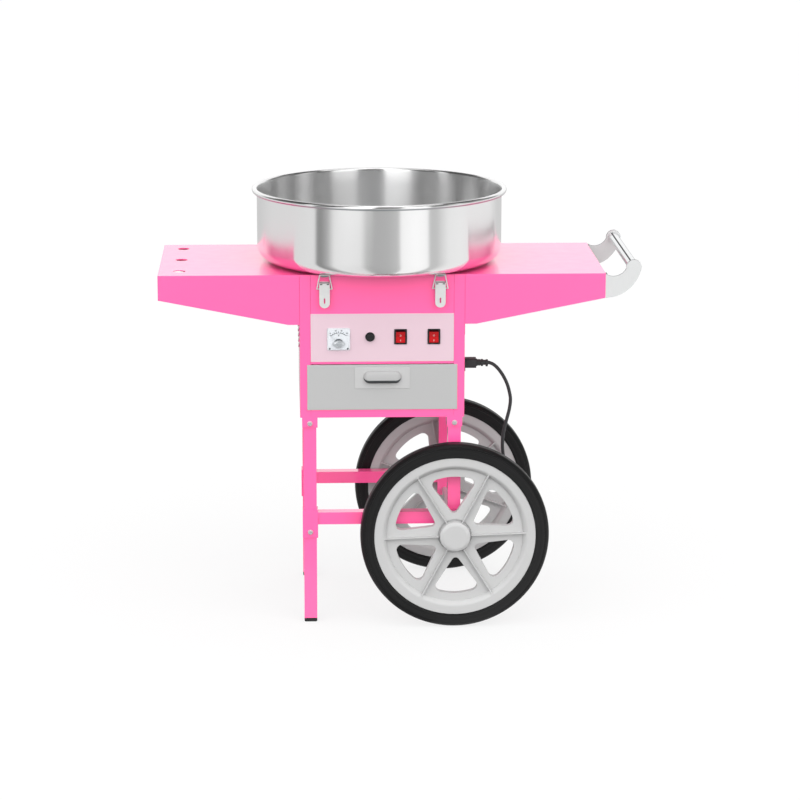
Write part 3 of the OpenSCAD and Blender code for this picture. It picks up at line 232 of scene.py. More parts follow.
def powder_coat(name, colour, peel):
    # Powder-coated steel with a clear gloss on it: faint orange peel, and the pale room on it at a low angle.
    return surface(name, colour, (120 * MM, 0.015), (30 * MM, 0.26, 0.36), (peel, 0.03 * MM),
                   IOR=1.5, Coat_Weight=1.0, Coat_Roughness=0.07, Coat_IOR=1.7)


def printed_plate(name, colour):
    # Printed aluminium plate under a satin lacquer: flat, pale, with a very fine grain.
    return surface(name, colour, (60 * MM, 0.01), None, (0.8 * MM, 0.01 * MM), Roughness=0.42, IOR=1.5)


def satin_paint(name, colour):
    # Satin paint on sheet: a soft sheen with the drawn lines of the rolled sheet just showing.
    material, tree, shader, place = begin(name, Roughness=0.45, IOR=1.5)
    mottle(tree, shader, place, colour, 90 * MM, 0.012)
    relief(tree, shader, stretched(tree, place, (0.05, 1, 1)), 1.2 * MM, 0.02 * MM)
    return material


def satin_steel(name, code, along, low, high, metal=1.0):
    # Brushed or turned metal: fine scratches, one way where it is brushed, which smear the reflections.
    return surface(name, linear(code), (1.5 * MM, 0.03), (1.0 * MM, low, high), (0.6 * MM, 0.006 * MM), along,
                   Metallic=metal)


def spun_steel(name, code, drawn, low, high):
    # Spun stainless steel, polished round and round: the fine rings draw reflections out into upright bands.
    material, tree, shader, place = begin(name, Metallic=1.0, Anisotropic=drawn, Anisotropic_Rotation=0.25)
    way = flow(tree, "Tangent", direction_type="RADIAL", axis="Z")
    tree.links.new(way, shader.inputs["Tangent"])
    middle = flow(tree, "VectorMath", {0: place, 1: at(0, 0, 0)}, operation="SUBTRACT")
    parts = add(tree, "SeparateXYZ", {"Vector": middle}).outputs
    flat = flow(tree, "CombineXYZ", {"X": parts["X"], "Y": parts["Y"]})
    reach = add(tree, "VectorMath", {0: flat}, operation="LENGTH").outputs["Value"]
    rings = flow(tree, "CombineXYZ", {"X": reach, "Y": parts["Z"]})
    mottle(tree, shader, rings, linear(code), 6 * MM, 0.008)
    uneven(tree, shader, rings, 3 * MM, low, high)
    return material


def plated_metal(name, code, low, high, metal=1.0):
    # Plated steel: bright, a little cloudy where the plating is thin.
    return surface(name, linear(code), (8 * MM, 0.05), (5 * MM, low, high), Metallic=metal)


def moulded_plastic(name, colour, roughness, grain):
    # Moulded plastic: the mould's fine spark-eroded skin, duller in patches.
    return surface(name, colour, (70 * MM, 0.02), (25 * MM, roughness - 0.05, roughness + 0.06),
                   (grain, 0.02 * MM), IOR=1.49)


def tyre_rubber(name, colour):
    # Moulded rubber: near black, dull, with a fine grit and a faint bloom.
    return surface(name, colour, (40 * MM, 0.12), (20 * MM, 0.34, 0.46), (1.2 * MM, 0.03 * MM),
                   IOR=1.52, Specular_IOR_Level=0.32)


def clear_plastic(name):
    # Clear acrylic, thin and polished: only its gloss and a slight blue haze show.
    return surface(name, linear("#E4ECF4"), (30 * MM, 0.02), (15 * MM, 0.04, 0.08), IOR=1.49, Alpha=0.07)


def print_ink(name, code):
    # Screen-printed ink: flat and dull, a little uneven in cover.
    return surface(name, linear(code), (2 * MM, 0.05), Roughness=0.6, IOR=1.5)


def make_finishes():
    colours, sizes = bpy.context.scene.cart_colours, bpy.context.scene.cart_sizes
    return {
        "pink": powder_coat("pink_powder_coat", tuple(colours.pink), sizes.peel),
        # Darker pink for the joints: painted shade in the gaps between the sheets.
        "joint_shade": satin_paint("painted_seam_sealer", linear("#A73A74")),
        "panel": printed_plate("pale_pink_printed_plate", tuple(colours.panel)),
        "drawer": satin_paint("grey_satin_paint", tuple(colours.drawer)),
        "pull": satin_paint("light_grey_satin_paint", linear("#A7A7A7")),
        # A darker copy of the pull's grey for the hood's face: painted shade, so the hood's upward slope does
        # not look brighter than the plate.
        "hood": satin_paint("mid_grey_satin_paint", linear("#989898")),
        "plate": satin_steel("lacquered_satin_plate", "#CDCECE", (1, 1, 0.04), 0.34, 0.46, 0.4),
        "bar": plated_metal("chromed_tube", "#E2E3E4", 0.06, 0.12),
        "bowl": spun_steel("spun_stainless_steel", "#EFEFEF", 0.85, 0.15, 0.16),
        "scrubbed": spun_steel("scrubbed_stainless_steel", "#EFEFEF", 1.0, 0.28, 0.3),
        "latch": plated_metal("satin_nickel_plate", "#D1D1D1", 0.28, 0.4, 0.4),
        # Dark steel for the pull's lip underside and inside, as painted shade, and for the handle plates' cut
        # edges, where it is partly painted shade.
        "dark_steel_and_shade": plated_metal("cut_steel_edge", "#585B5D", 0.32, 0.48),
        "zinc": plated_metal("zinc_plate", "#C7C8CA", 0.25, 0.42, 0.55),
        "sheet": plated_metal("galvanised_sheet", "#AEB2B5", 0.35, 0.5),
        "rim": moulded_plastic("moulded_polypropylene", tuple(colours.rim), 0.42, 1.4 * MM),
        "tyre": tyre_rubber("tyre_rubber", tuple(colours.tyre)),
        "nylon": moulded_plastic("black_nylon", linear("#141416"), 0.4, 0.6 * MM),
        "rocker": moulded_plastic("red_polycarbonate", tuple(colours.rocker), 0.18, 3 * MM),
        # Near-black red for the rockers' rounded margins: painted shade where their sides turn away.
        "painted_shade_red": moulded_plastic("deep_red_polycarbonate", linear("#3A0206"), 0.3, 3 * MM),
        "abs": moulded_plastic("white_abs", linear("#C7C9CC"), 0.35, 1.0 * MM),
        "lens": clear_plastic("clear_acrylic"),
        # Black ink for the meter's print, and the same black as painted shade on the latch levers.
        "ink_and_shade": print_ink("black_ink", "#212326"),
        "mark": print_ink("white_ink", "#CAC3C0"),
        "sheath": moulded_plastic("pvc_sheath", linear("#252527"), 0.45, 0.9 * MM),
        "brass": plated_metal("nickel_plated_brass", "#CFC7AE", 0.2, 0.35),
        "motor": satin_paint("grey_motor_enamel", linear("#6D7176")),
        "head": satin_steel("turned_aluminium", "#CDCFD1", None, 0.22, 0.36),
        "heater": plated_metal("heat_tinted_ribbon", "#7A5A48", 0.4, 0.6),
    }


# Shapes

def coat(mesh, finish):
    """Gives a mesh one finish all over."""
    mesh.materials.clear()
    mesh.materials.append(FINISH[finish])


def paint(made, finish, chosen):
    """Gives the chosen faces of a piece one more finish."""
    made.data.materials.append(FINISH[finish])
    for face in made.data.polygons:
        if chosen(face):
            face.material_index = len(made.data.materials) - 1


def linked(name, data):
    """A new object in the scene."""
    made = bpy.data.objects.new(name, data)
    bpy.context.scene.collection.objects.link(made)
    return made


def mesh_object(name, mesh, finish):
    """A mesh in one finish, as a new object in the scene."""
    coat(mesh, finish)
    return linked(name, mesh)


def settle(thing):
    """Turns an object with modifiers, or a curve, into a plain mesh object of the same name."""
    depsgraph = bpy.context.evaluated_depsgraph_get()
    mesh = bpy.data.meshes.new_from_object(thing.evaluated_get(depsgraph), depsgraph=depsgraph)
    name = thing.name
    bpy.data.objects.remove(thing)
    return linked(name, mesh)


def smooth(mesh, degrees=35):
    mesh.shade_smooth()
    mesh.set_sharp_from_angle(angle=math.radians(degrees))


def skin(form, rings, closed=False):
    """Faces from ring to ring of points, and from the last ring to the first where the shape is closed."""
    for a, b in zip(rings, rings[1:] + rings[:1] if closed else rings[1:]):
        for i in range(len(a)):
            j = (i + 1) % len(a)
            corners = list(dict.fromkeys([a[i], a[j], b[j], b[i]]))
            if len(corners) > 2:
                form.faces.new(corners)


def kept(form, name):
    """A form as a mesh, with its faces turned outward."""
    bmesh.ops.recalc_face_normals(form, faces=form.faces)
    mesh = bpy.data.meshes.new(name)
    form.to_mesh(mesh)
    form.free()
    return mesh


def merged(mesh):
    """Joins a mesh's loose triangles and takes out the lines across its flat faces."""
    form = bmesh.new()
    form.from_mesh(mesh)
    bmesh.ops.remove_doubles(form, verts=form.verts, dist=1e-6)
    bmesh.ops.dissolve_limit(form, angle_limit=math.radians(0.4), verts=form.verts, edges=form.edges)
    form.to_mesh(mesh)
    form.free()
    return mesh


def node_copy(name, node, finish):
    """A copy of a CAD node to work on, which leaves the node as it is."""
    return mesh_object(name, merged(NODES[node].data.copy()), finish)


def round_edges(made, width, degrees=35, least=0.0):
    """Rounds every sharp edge that is longer than the least length. Both lengths are in mm."""
    mesh = made.data
    smooth(mesh, degrees)
    form = bmesh.new()
    form.from_mesh(mesh)
    weights = form.edges.layers.float.new("bevel_weight_edge")
    for edge in form.edges:
        sharp = edge.is_manifold and edge.calc_face_angle() > math.radians(degrees)
        edge[weights] = 1.0 if sharp and edge.calc_length() > least * MM else 0.0
    form.to_mesh(mesh)
    form.free()
    tuned(made.modifiers.new("edges", "BEVEL"), limit_method="WEIGHT", width=width * MM, segments=2)
    tuned(made.modifiers.new("merge", "WELD"), merge_threshold=2e-6)
    tuned(made.modifiers.new("normals", "WEIGHTED_NORMAL"), keep_sharp=True)
    return settle(made)


def fused(made, others):
    """One piece out of several that overlap."""
    for other in others:
        tuned(made.modifiers.new("weld", "BOOLEAN"), operation="UNION", solver="EXACT", object=other)
    made = settle(made)
    for other in others:
        bpy.data.objects.remove(other)
    merged(made.data)
    return made


def soften(node, finish, width, degrees=35, least=0.0, extras=()):
    """A copy of a CAD node, made one with the extras, with its edges rounded. It stands for the node."""
    made = node_copy(node + "_finish", node, finish)
    if extras:
        made = fused(made, extras)
    made = round_edges(made, width, degrees, least)
    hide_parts(node)
    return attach(made, NODES[node]["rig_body"])


def weld(name, nodes, finish, width):
    """CAD nodes that are welded to each other, as one piece with its seams ground flush."""
    made = node_copy(name, nodes[0], finish)
    others = [node_copy(node + "_weld", node, finish) for node in nodes[1:]]
    made = round_edges(fused(made, others), width)
    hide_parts(*nodes)
    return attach(made, NODES[nodes[0]]["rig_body"])


def circle(form, radius, height, sides, hexagonal=False):
    """A ring of points, set back to a hexagon with corners on the radius where asked."""
    points = []
    for i in range(sides):
        angle = 2 * math.pi * i / sides
        reach = radius
        if hexagonal:
            reach = radius * math.cos(math.pi / 6) / math.cos(angle % (math.pi / 3) - math.pi / 6)
        points.append(form.verts.new((reach * math.cos(angle), reach * math.sin(angle), height)))
    return points


def turned(name, outline, segments):
    """A mesh turned from a closed outline of (radius, height) points. A point on the axis stays one point."""
    form = bmesh.new()
    skin(form, [circle(form, r, h, segments) if r else [form.verts.new((0, 0, h))] * segments
                for r, h in outline], closed=True)
    return kept(form, name)


def lathe(name, outline, finish, place, segments):
    """A turned piece, from an outline in mm, set in place by a matrix."""
    mesh = turned(name, [(r * MM, h * MM) for r, h in outline], segments)
    mesh.transform(place)
    smooth(mesh)
    return mesh_object(name, mesh, finish)


def quarter_turn(point, axis):
    """Moves a shape to a point and turns it a quarter about an axis."""
    return Matrix.Translation(point) @ Matrix.Rotation(math.radians(90), 4, axis)


def arc(cx, cy, radius, start, end, steps):
    """Points along an arc, in degrees."""
    turns = [math.radians(start + (end - start) * i / max(steps, 1)) for i in range(steps + 1)]
    return [(cx + radius * math.cos(a), cy + radius * math.sin(a)) for a in turns]


def upright(low, high, y):
    """The four corners of an upright rectangle, from its low left and its high right corner."""
    return [(low[0], y, low[1]), (high[0], y, low[1]), (high[0], y, high[1]), (low[0], y, high[1])]


def thin_print(name, outlines, finish, body, thick=0.06):
    """Thin raised print or inlay, so many mm thick, from flat outlines of points."""
    form = bmesh.new()
    for outline in outlines:
        form.faces.new([form.verts.new(p) for p in outline])
    bmesh.ops.remove_doubles(form, verts=form.verts, dist=1e-7)
    made = mesh_object(name, kept(form, name), finish)
    tuned(made.modifiers.new("thick", "SOLIDIFY"), thickness=thick * MM, offset=0)
    made = settle(made)
    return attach(made, body)


def repeat_tree():
    """A Geometry Nodes tree that sets one shape on every point, turned to the way the point faces, at a named
    width and height."""
    tree = bpy.data.node_groups.new("set_on_points", "GeometryNodeTree")
    for label, kind in (("Geometry", "Geometry"), ("Shape", "Object"), ("Width", "Float"),
                        ("Height", "Float"), ("Material", "Material")):
        tree.interface.new_socket(label, in_out="INPUT", socket_type="NodeSocket" + kind)
    tree.interface.new_socket("Geometry", in_out="OUTPUT", socket_type="NodeSocketGeometry")
    given = add(tree, "NodeGroupInput").outputs
    shape = add(tree, "GeometryNodeObjectInfo", {"Object": given["Shape"]})
    facing = flow(tree, "GeometryNodeInputNamedAttribute", {"Name": "facing"}, data_type="FLOAT_VECTOR")
    turn = flow(tree, "FunctionNodeAlignRotationToVector", {"Vector": facing}, axis="Z")
    size = flow(tree, "CombineXYZ", {"X": given["Width"], "Y": given["Width"], "Z": given["Height"]})
    copies = flow(tree, "GeometryNodeInstanceOnPoints", {
        "Points": given["Geometry"], "Instance": shape.outputs["Geometry"], "Rotation": turn, "Scale": size})
    whole = flow(tree, "GeometryNodeRealizeInstances", {"Geometry": copies})
    coated = flow(tree, "GeometryNodeSetMaterial", {"Geometry": whole, "Material": given["Material"]})
    add(tree, "NodeGroupOutput", {"Geometry": coated})
    return tree


def set_on_points(name, spots, shape, width, height, finish):
    """Sets a unit shape, at a width and height in mm, on spots of (point, facing), as one mesh."""
    tree = bpy.data.node_groups.get("set_on_points") or repeat_tree()
    mesh = bpy.data.meshes.new(name)
    mesh.from_pydata([tuple(p) for p, _ in spots], [], [])
    facing = mesh.attributes.new("facing", "FLOAT_VECTOR", "POINT")
    facing.data.foreach_set("vector", [c for _, f in spots for c in f])
    made, pattern = linked(name, mesh), linked(shape.name, shape)
    modifier = tuned(made.modifiers.new("repeat", "NODES"), node_group=tree)
    values = {"Shape": pattern, "Width": width * MM, "Height": height * MM, "Material": FINISH[finish]}
    for item in tree.interface.items_tree:
        if item.in_out == "INPUT" and item.name in values:
            modifier[item.identifier] = values[item.name]
    made = settle(made)
    bpy.data.objects.remove(pattern)
    smooth(made.data)
    return made


# Operators

class CART_OT_stage(bpy.types.Operator):
    """Camera, floor, surround and soft lights"""
    bl_idname = "cart.stage"
    bl_label = "Stage"

    # The camera, solved from the cart's own straight edges: its place in metres, its turns in radians
    EYE, YAW, PITCH, ROLL = (-0.2322, -5.5796, 1.7345), 0.0429, 0.2304, 0.0019
    SENSOR, LENS = 36.0, 124.1
    # Each lamp's place and size, and the point that both face
    KEY, TOP = ((-2.0, -4.5, 1.9), 3.0), ((0.2, -0.4, 3.4), 2.8)
    AIM = Vector((-0.03, 0, 0.5))
    FLOOR_REACH, FLOOR_GREY = 60.0, 0.12
    FLOOR_LIT = 0.9  # the share of the surround's strength that lies on the floor
    HORIZON = (0.02, 0.12)  # the rise of a ray over which the wall gives way to the panels overhead

    # What the gloss sees round the cart, by the angle from the front in degrees: soft panels with gaps, one
    # row of them on the floor and one row overhead, and an even wall all round between the two
    LOW_PANELS = (
        (-180, 0.6), (-150, 0.66), (-120, 0.78), (-70, 0.82), (-62.5, 0.82), (-61.5, 0.27), (-57, 0.27),
        (-50, 0.46), (-45, 0.8), (-43, 0.88), (-31, 0.86), (-19, 0.8), (-14, 0.5), (-9, 0.44), (5, 0.48),
        (12, 0.54), (15.5, 0.62), (17, 1.02), (24, 1.06), (31, 1.1), (42.5, 1.05), (44.5, 0.58), (52, 0.62),
        (56, 0.74), (64, 0.92), (77, 0.95), (122, 0.9), (140, 0.7), (180, 0.6))
    AROUND = ((-180, 1.1), (-140, 1.0), (-90, 0.7), (90, 0.7), (140, 1.0), (180, 1.1))
    HIGH_PANELS = (
        (-180, 1.1), (-140, 1.0), (-125, 0.12), (-92, 0.12), (-75, 0.14), (-71, 1.1), (-64, 1.1), (-61, 0.12),
        (-36, 0.12), (-31, 1.75), (-9, 1.75), (-6, 0.08), (18, 0.08), (22, 1.55), (43, 1.55), (48, 0.12),
        (62, 0.14), (76, 0.8), (90, 0.14), (102, 0.35), (125, 0.12), (140, 1.0), (180, 1.1))
    # How the panels fade with height, from straight down (0) to straight up (1), with a dark gap near the top
    CEILING = ((0, 1.0), (0.78, 1.0), (0.81, 0.2), (0.9, 0.22), (0.93, 0.7), (1.0, 0.75))
    # How the even light falls off from the front (0) to the back (1)
    FRONT = ((0, 1.85), (0.15, 1.5), (0.3, 1.2), (0.5, 0.75), (0.75, 0.58), (1.0, 0.58))

    def execute(self, context):
        scene, settings = context.scene, context.scene.cart_stage
        scene.view_settings.view_transform = "Standard"
        self.make_camera(scene)
        self.make_floor(settings.ambient)
        self.make_surround(scene, settings.ambient)
        self.make_light("key_light", *self.KEY, settings.key)
        self.make_light("top_light", *self.TOP, settings.top)
        return {"FINISHED"}

    def make_camera(self, scene):
        lens = tuned(bpy.data.cameras.new("camera"), sensor_width=self.SENSOR, lens=self.LENS)
        level = math.cos(self.PITCH)
        ahead = Vector((math.sin(self.YAW) * level, math.cos(self.YAW) * level, -math.sin(self.PITCH)))
        right = Vector((math.cos(self.YAW), -math.sin(self.YAW), 0))
        turn = Matrix((right, right.cross(ahead), -ahead)).transposed() @ Matrix.Rotation(self.ROLL, 3, "Z")
        scene.camera = linked("camera", lens)
        scene.camera.matrix_world = Matrix.Translation(self.EYE) @ turn.to_4x4()

    def bands(self, tree, ray, panels):
        """The panels' brightness in the direction of a ray, or at a place on the floor."""
        parts = add(tree, "SeparateXYZ", {"Vector": ray}).outputs
        front = flow(tree, "Math", {0: parts["Y"], 1: -1.0}, operation="MULTIPLY")
        angle = flow(tree, "Math", {0: parts["X"], 1: front}, operation="ARCTAN2")
        return self.ramp(tree, angle, -math.pi, math.pi, [(a / 360 + 0.5, v) for a, v in panels])

    def ramp(self, tree, value, least, most, levels):
        """Grey levels along a value, given as (share of the way, level)."""
        share = flow(tree, "MapRange", {"Value": value, "From Min": least, "From Max": most})
        ramp = add(tree, "ValToRGB", {"Fac": share})
        stops = ramp.color_ramp.elements
        while len(stops) < len(levels):
            stops.new(0.5)
        for stop, (position, level) in zip(stops, levels):
            stop.position = position
            stop.color = (level, level, level, 1)
        return ramp.outputs["Color"]

    def rays(self, tree):
        """Whether a ray is the camera's, straight or through something clear, and whether it is a gloss."""
        path = add(tree, "LightPath").outputs
        seen = flow(tree, "Math", {
            0: path["Is Camera Ray"], 1: path["Is Transmission Ray"]}, operation="MAXIMUM")
        return seen, path["Is Glossy Ray"]

    def make_floor(self, ambient):
        # Pale studio floor: white to the camera, the panels in gloss, and it keeps the cart's soft shadow.
        material = bpy.data.materials.new("pale_floor")
        tree = cleared(material)
        seen, glossy = self.rays(tree)
        lit, reach = self.FLOOR_LIT * self.FLOOR_GREY * ambient, self.FLOOR_REACH
        lift = flow(tree, "Math", {0: seen, 1: 1 - lit}, operation="MULTIPLY")
        glow = flow(tree, "Emission", {"Color": (1, 1, 1, 1), "Strength": lift})
        matt = flow(tree, "BsdfDiffuse", {"Color": (self.FLOOR_GREY,) * 3 + (1,)})
        plain = flow(tree, "AddShader", {0: glow, 1: matt})
        place = add(tree, "TexCoord").outputs["Object"]
        gloss = flow(tree, "Emission", {
            "Color": self.bands(tree, place, self.LOW_PANELS), "Strength": 1.0})
        both = flow(tree, "MixShader", {0: glossy, 1: plain, 2: gloss})
        add(tree, "OutputMaterial", {"Surface": both})
        mesh = bpy.data.meshes.new("floor")
        mesh.from_pydata([(-reach, -reach, 0), (reach, -reach, 0), (reach, reach, 0), (-reach, reach, 0)],
                         [], [(0, 1, 2, 3)])
        mesh.materials.append(material)
        linked("floor", mesh)

    def make_surround(self, scene, ambient):
        # White to the camera, even light on the cart, and the soft panels in the gloss.
        scene.world = bpy.data.worlds.new("surround")
        tree = cleared(scene.world)
        ray = add(tree, "TexCoord").outputs["Generated"]
        seen, glossy = self.rays(tree)
        parts = add(tree, "SeparateXYZ", {"Vector": ray}).outputs
        plain = flow(tree, "Background", {
            "Color": self.ramp(tree, parts["Y"], -1, 1, self.FRONT), "Strength": ambient})
        over = flow(tree, "MapRange", {
            "Value": parts["Z"], "From Min": self.HORIZON[0], "From Max": self.HORIZON[1]})
        around, above = self.bands(tree, ray, self.AROUND), self.bands(tree, ray, self.HIGH_PANELS)
        panels = add(tree, "Mix", {"Factor": over, 6: around, 7: above}, data_type="RGBA")
        gloss = flow(tree, "Background", {
            "Color": panels.outputs[2], "Strength": self.ramp(tree, parts["Z"], -1, 1, self.CEILING)})
        white = flow(tree, "Background", {"Color": (1, 1, 1, 1), "Strength": 1.0})
        lit = flow(tree, "MixShader", {0: glossy, 1: plain, 2: gloss})
        shown = flow(tree, "MixShader", {0: seen, 1: lit, 2: white})
        add(tree, "OutputWorld", {"Surface": shown})

    def make_light(self, name, place, size, power):
        lamp = tuned(bpy.data.lights.new(name, "AREA"), size=size, energy=power)
        turn = (self.AIM - Vector(place)).to_track_quat("-Z", "Y")
        tuned(linked(name, lamp), location=place, rotation_euler=turn.to_euler())


class CART_OT_cord(bpy.types.Operator):
    """Power cord with its connector, coil, tie and plug"""
    bl_idname = "cart.cord"
    bl_label = "Power cord"

    # The free run, in mm: past the connector, behind the inlet, and up from the floor
    ROUTE = (
        (0, 0, 534), (10, 0, 530), (20, 0, 521), (30, 0, 507), (38, 0, 491), (43, 0, 475), (46, 0, 457),
        (44, 0, 437), (39, 0, 416), (34, 0, 396), (31, 0, 375), (31, 1, 354), (34, 2, 333), (41, 3, 311),
        (51, 4, 289), (62, 5, 266), (72, 6, 242), (81, 7, 217), (87, 8, 191), (89, 8, 165), (88, 8, 139),
        (83, 8, 114), (74, 8, 91), (62, 8, 69), (47, 7, 49), (30, 5, 32), (11, 1, 18), (-9, -5, 8))
    EXIT = (216, -138, 534)
    CORD = 7.0
    # The coil: its middle, the radius of its outer turn, from turn to turn, and the way round in degrees
    COIL, TURN_R, STEP = (150, -122), 44.0, 7.7
    FROM, SWEEP, STEPS = 300, 1170, 78
    RIBS = ((12.9, 0.4), (3.1, 1.1))  # how far before the exit, and how far below it
    RIB = ((0, -2.1), (7.3, -2.1), (7.3, 2.1), (0, 2.1))
    PLUG_BODY = 60.3  # from the end of the cord to the face that the pins stand on

    def coil_point(self, swept):
        angle = math.radians(self.FROM - swept)
        radius = self.TURN_R - self.STEP * min(swept, self.SWEEP - swept) / 360
        rise = min(1, max(0, (swept - self.SWEEP / 2 + 90) / 180))
        height = self.CORD / 2 + self.STEP * rise * rise * (3 - 2 * rise)
        return at(self.COIL[0] + radius * math.cos(angle), self.COIL[1] + radius * math.sin(angle), height)

    def heading(self, swept):
        angle = math.radians(self.FROM - swept)
        return Vector((math.sin(angle), -math.cos(angle), 0))

    def centreline(self):
        run = [at(self.EXIT[0] + x, self.EXIT[1] + y, z) for x, y, z in self.ROUTE]
        turns = [self.coil_point(self.SWEEP * i / self.STEPS) for i in range(self.STEPS + 1)]
        start = turns[0] - self.CORD * MM * self.heading(0)
        end = turns[-1] + 2 * self.CORD * MM * self.heading(self.SWEEP)
        return run + [start] + turns + [end]

    def rounded(self, knots, parts=4):
        """A smooth line through every knot."""
        points = []
        for i in range(len(knots) - 1):
            a, b, c, d = knots[max(i - 1, 0)], knots[i], knots[i + 1], knots[min(i + 2, len(knots) - 1)]
            for k in range(parts):
                t = k / parts
                points.append(0.5 * (2 * b + (c - a) * t + (2 * a - 5 * b + 4 * c - d) * t * t
                                     + (3 * b - a - 3 * c + d) * t ** 3))
        return points + [knots[-1]]

    def execute(self, context):
        knots = self.centreline()
        points = self.rounded(knots)
        line = tuned(bpy.data.curves.new("power_cord", "CURVE"), dimensions="3D",
                     bevel_depth=self.CORD / 2 * MM, bevel_resolution=5, use_fill_caps=True)
        spline = line.splines.new("POLY")
        spline.points.add(len(points) - 1)
        for point, place in zip(spline.points, points):
            point.co = (*place, 1)
        spline.use_smooth = True
        line.materials.append(FINISH["sheath"])
        cord = linked("power_cord", line)
        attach(cord, "cart")
        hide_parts("cord_run", "cord_coil")
        connector = soften("cord_connector", "sheath", 0.5, extras=self.ribs())
        plug = soften("mains_plug", "sheath", 0.6)
        ahead = self.heading(self.SWEEP)
        paint(plug, "brass", lambda face: (face.center - knots[-1]).dot(ahead) > self.PLUG_BODY * MM)
        tie = self.make_tie()
        soften("power_inlet", "nylon", 0.4)
        return {"FINISHED"}

    def ribs(self):
        """Deep ribs along the connector's relief, which droops a little under the cord's weight."""
        x, y, z = self.EXIT
        return [lathe("relief_rib", self.RIB, "sheath", quarter_turn(at(x - back, y, z - drop), "Y"), 48)
                for back, drop in self.RIBS]

    def make_tie(self):
        """A hook-and-loop strap round the coil's turns."""
        way, half, thick, corner, steps, floor = math.radians(120), 6, 1.0, 5.0, 6, 0.1
        near, far, low, high = 28.5 + corner, 48.5 - corner, corner, 15.4 - corner
        out = Vector((math.cos(way), math.sin(way), 0))
        along = Vector((-out.y, out.x, 0))
        middle = at(self.COIL[0], self.COIL[1], 0)
        inside = corner - thick
        form = bmesh.new()
        rings = []
        for cx, cz, start in ((far, low, -90), (far, high, 0), (near, high, 90), (near, low, 180)):
            for i in range(steps + 1):
                turn = math.radians(start + 90 * i / steps)
                ring = []
                for radius, side in ((inside, -half), (corner, -half), (corner, half), (inside, half)):
                    reach, height = cx + radius * math.cos(turn), max(floor, cz + radius * math.sin(turn))
                    ring.append(form.verts.new(
                        middle + out * reach * MM + along * side * MM + Vector((0, 0, height * MM))))
                rings.append(ring)
        skin(form, rings, closed=True)
        mesh = kept(form, "cord_tie")
        smooth(mesh)
        tie = mesh_object("cord_tie", mesh, "nylon")
        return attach(tie, "cart")


class CART_OT_cabinet(bpy.types.Operator):
    """Cabinet panels, top, base and control panel"""
    bl_idname = "cart.cabinet"
    bl_label = "Cabinet"

    LOUVRE = 60  # the sides' edges up to this length belong to the louvres and stay as they are
    SEAMS = ((143.5, 445), (165.5, 600))  # how far out a pair of joints lies, and where it starts
    SEAM_HALF, SEAM_TOP, SEAM_Y = 0.45, 722.4, -178.02

    def execute(self, context):
        edge = context.scene.cart_sizes.sheet_edge / MM
        for node in ("base_pan", "front_panel", "back_panel", "top_plate"):
            soften(node, "pink", edge)
        for node in ("side_panel_left", "side_panel_right"):
            soften(node, "pink", edge, least=self.LOUVRE)
        soften("control_panel", "panel", 0.3)
        self.seams()
        return {"FINISHED"}

    def seams(self):
        """Painted shade in the upright joints between front, flanges and shelves, as thin darker lines."""
        outlines = []
        for x, foot in self.SEAMS:
            for side in (-x, x):
                low = at(side - self.SEAM_HALF, self.SEAM_Y, foot)
                high = at(side + self.SEAM_HALF, self.SEAM_Y, self.SEAM_TOP)
                outlines.append(upright(low.xz, high.xz, low.y))
        thin_print("joint_sealer", outlines, "joint_shade", "cart")


class CART_OT_shelves(bpy.types.Operator):
    """Folded side shelves"""
    bl_idname = "cart.shelves"
    bl_label = "Shelves"

    def execute(self, context):
        weld("welded_shelves", ("shelf_tops", "shelf_left", "shelf_right"), "pink",
             context.scene.cart_sizes.sheet_edge / MM)
        return {"FINISHED"}


class CART_OT_handle(bpy.types.Operator):
    """Push handle: two curved plates and a bar"""
    bl_idname = "cart.handle"
    bl_label = "Handle"

    LINE_TURNS = (107, 115, 123)  # the dark line's width round the bar, in degrees from the right
    SEAM_PROUD, SEAM_SHORT = 0.03, 1.0

    def execute(self, context):
        plates = soften("handle_brackets", "plate", 0.5)
        # The plates' cut edges in dark steel: a real bare edge, darkened further as painted shade that
        # outlines the plates.
        paint(plates, "dark_steel_and_shade", lambda face: abs(face.normal.y) < 0.5)
        soften("handle_bar", "bar", 0.6)
        self.seam()
        return {"FINISHED"}

    def seam(self):
        """A dark line along the top of the bar."""
        low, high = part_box("handle_bar")
        middle, reach = (low + high) / 2, (high.z - low.z) / 2 + self.SEAM_PROUD * MM
        ends = low.y + self.SEAM_SHORT * MM, high.y - self.SEAM_SHORT * MM
        lines = []
        for degrees in self.LINE_TURNS:
            x, z = reach * math.cos(math.radians(degrees)), reach * math.sin(math.radians(degrees))
            lines.append([Vector((middle.x + x, y, middle.z + z)) for y in ends])
        strips = [(a[0], a[1], b[1], b[0]) for a, b in zip(lines, lines[1:])]
        thin_print("bar_seam", strips, "ink_and_shade", "cart")


class CART_OT_legs(bpy.types.Operator):
    """Legs, stretchers and foot caps"""
    bl_idname = "cart.legs"
    bl_label = "Legs"

    def execute(self, context):
        for node in ("leg_front_left", "leg_back_left", "leg_front_right", "leg_back_right", "stretchers"):
            soften(node, "pink", 0.7)
        soften("foot_caps", "nylon", 0.8)
        return {"FINISHED"}


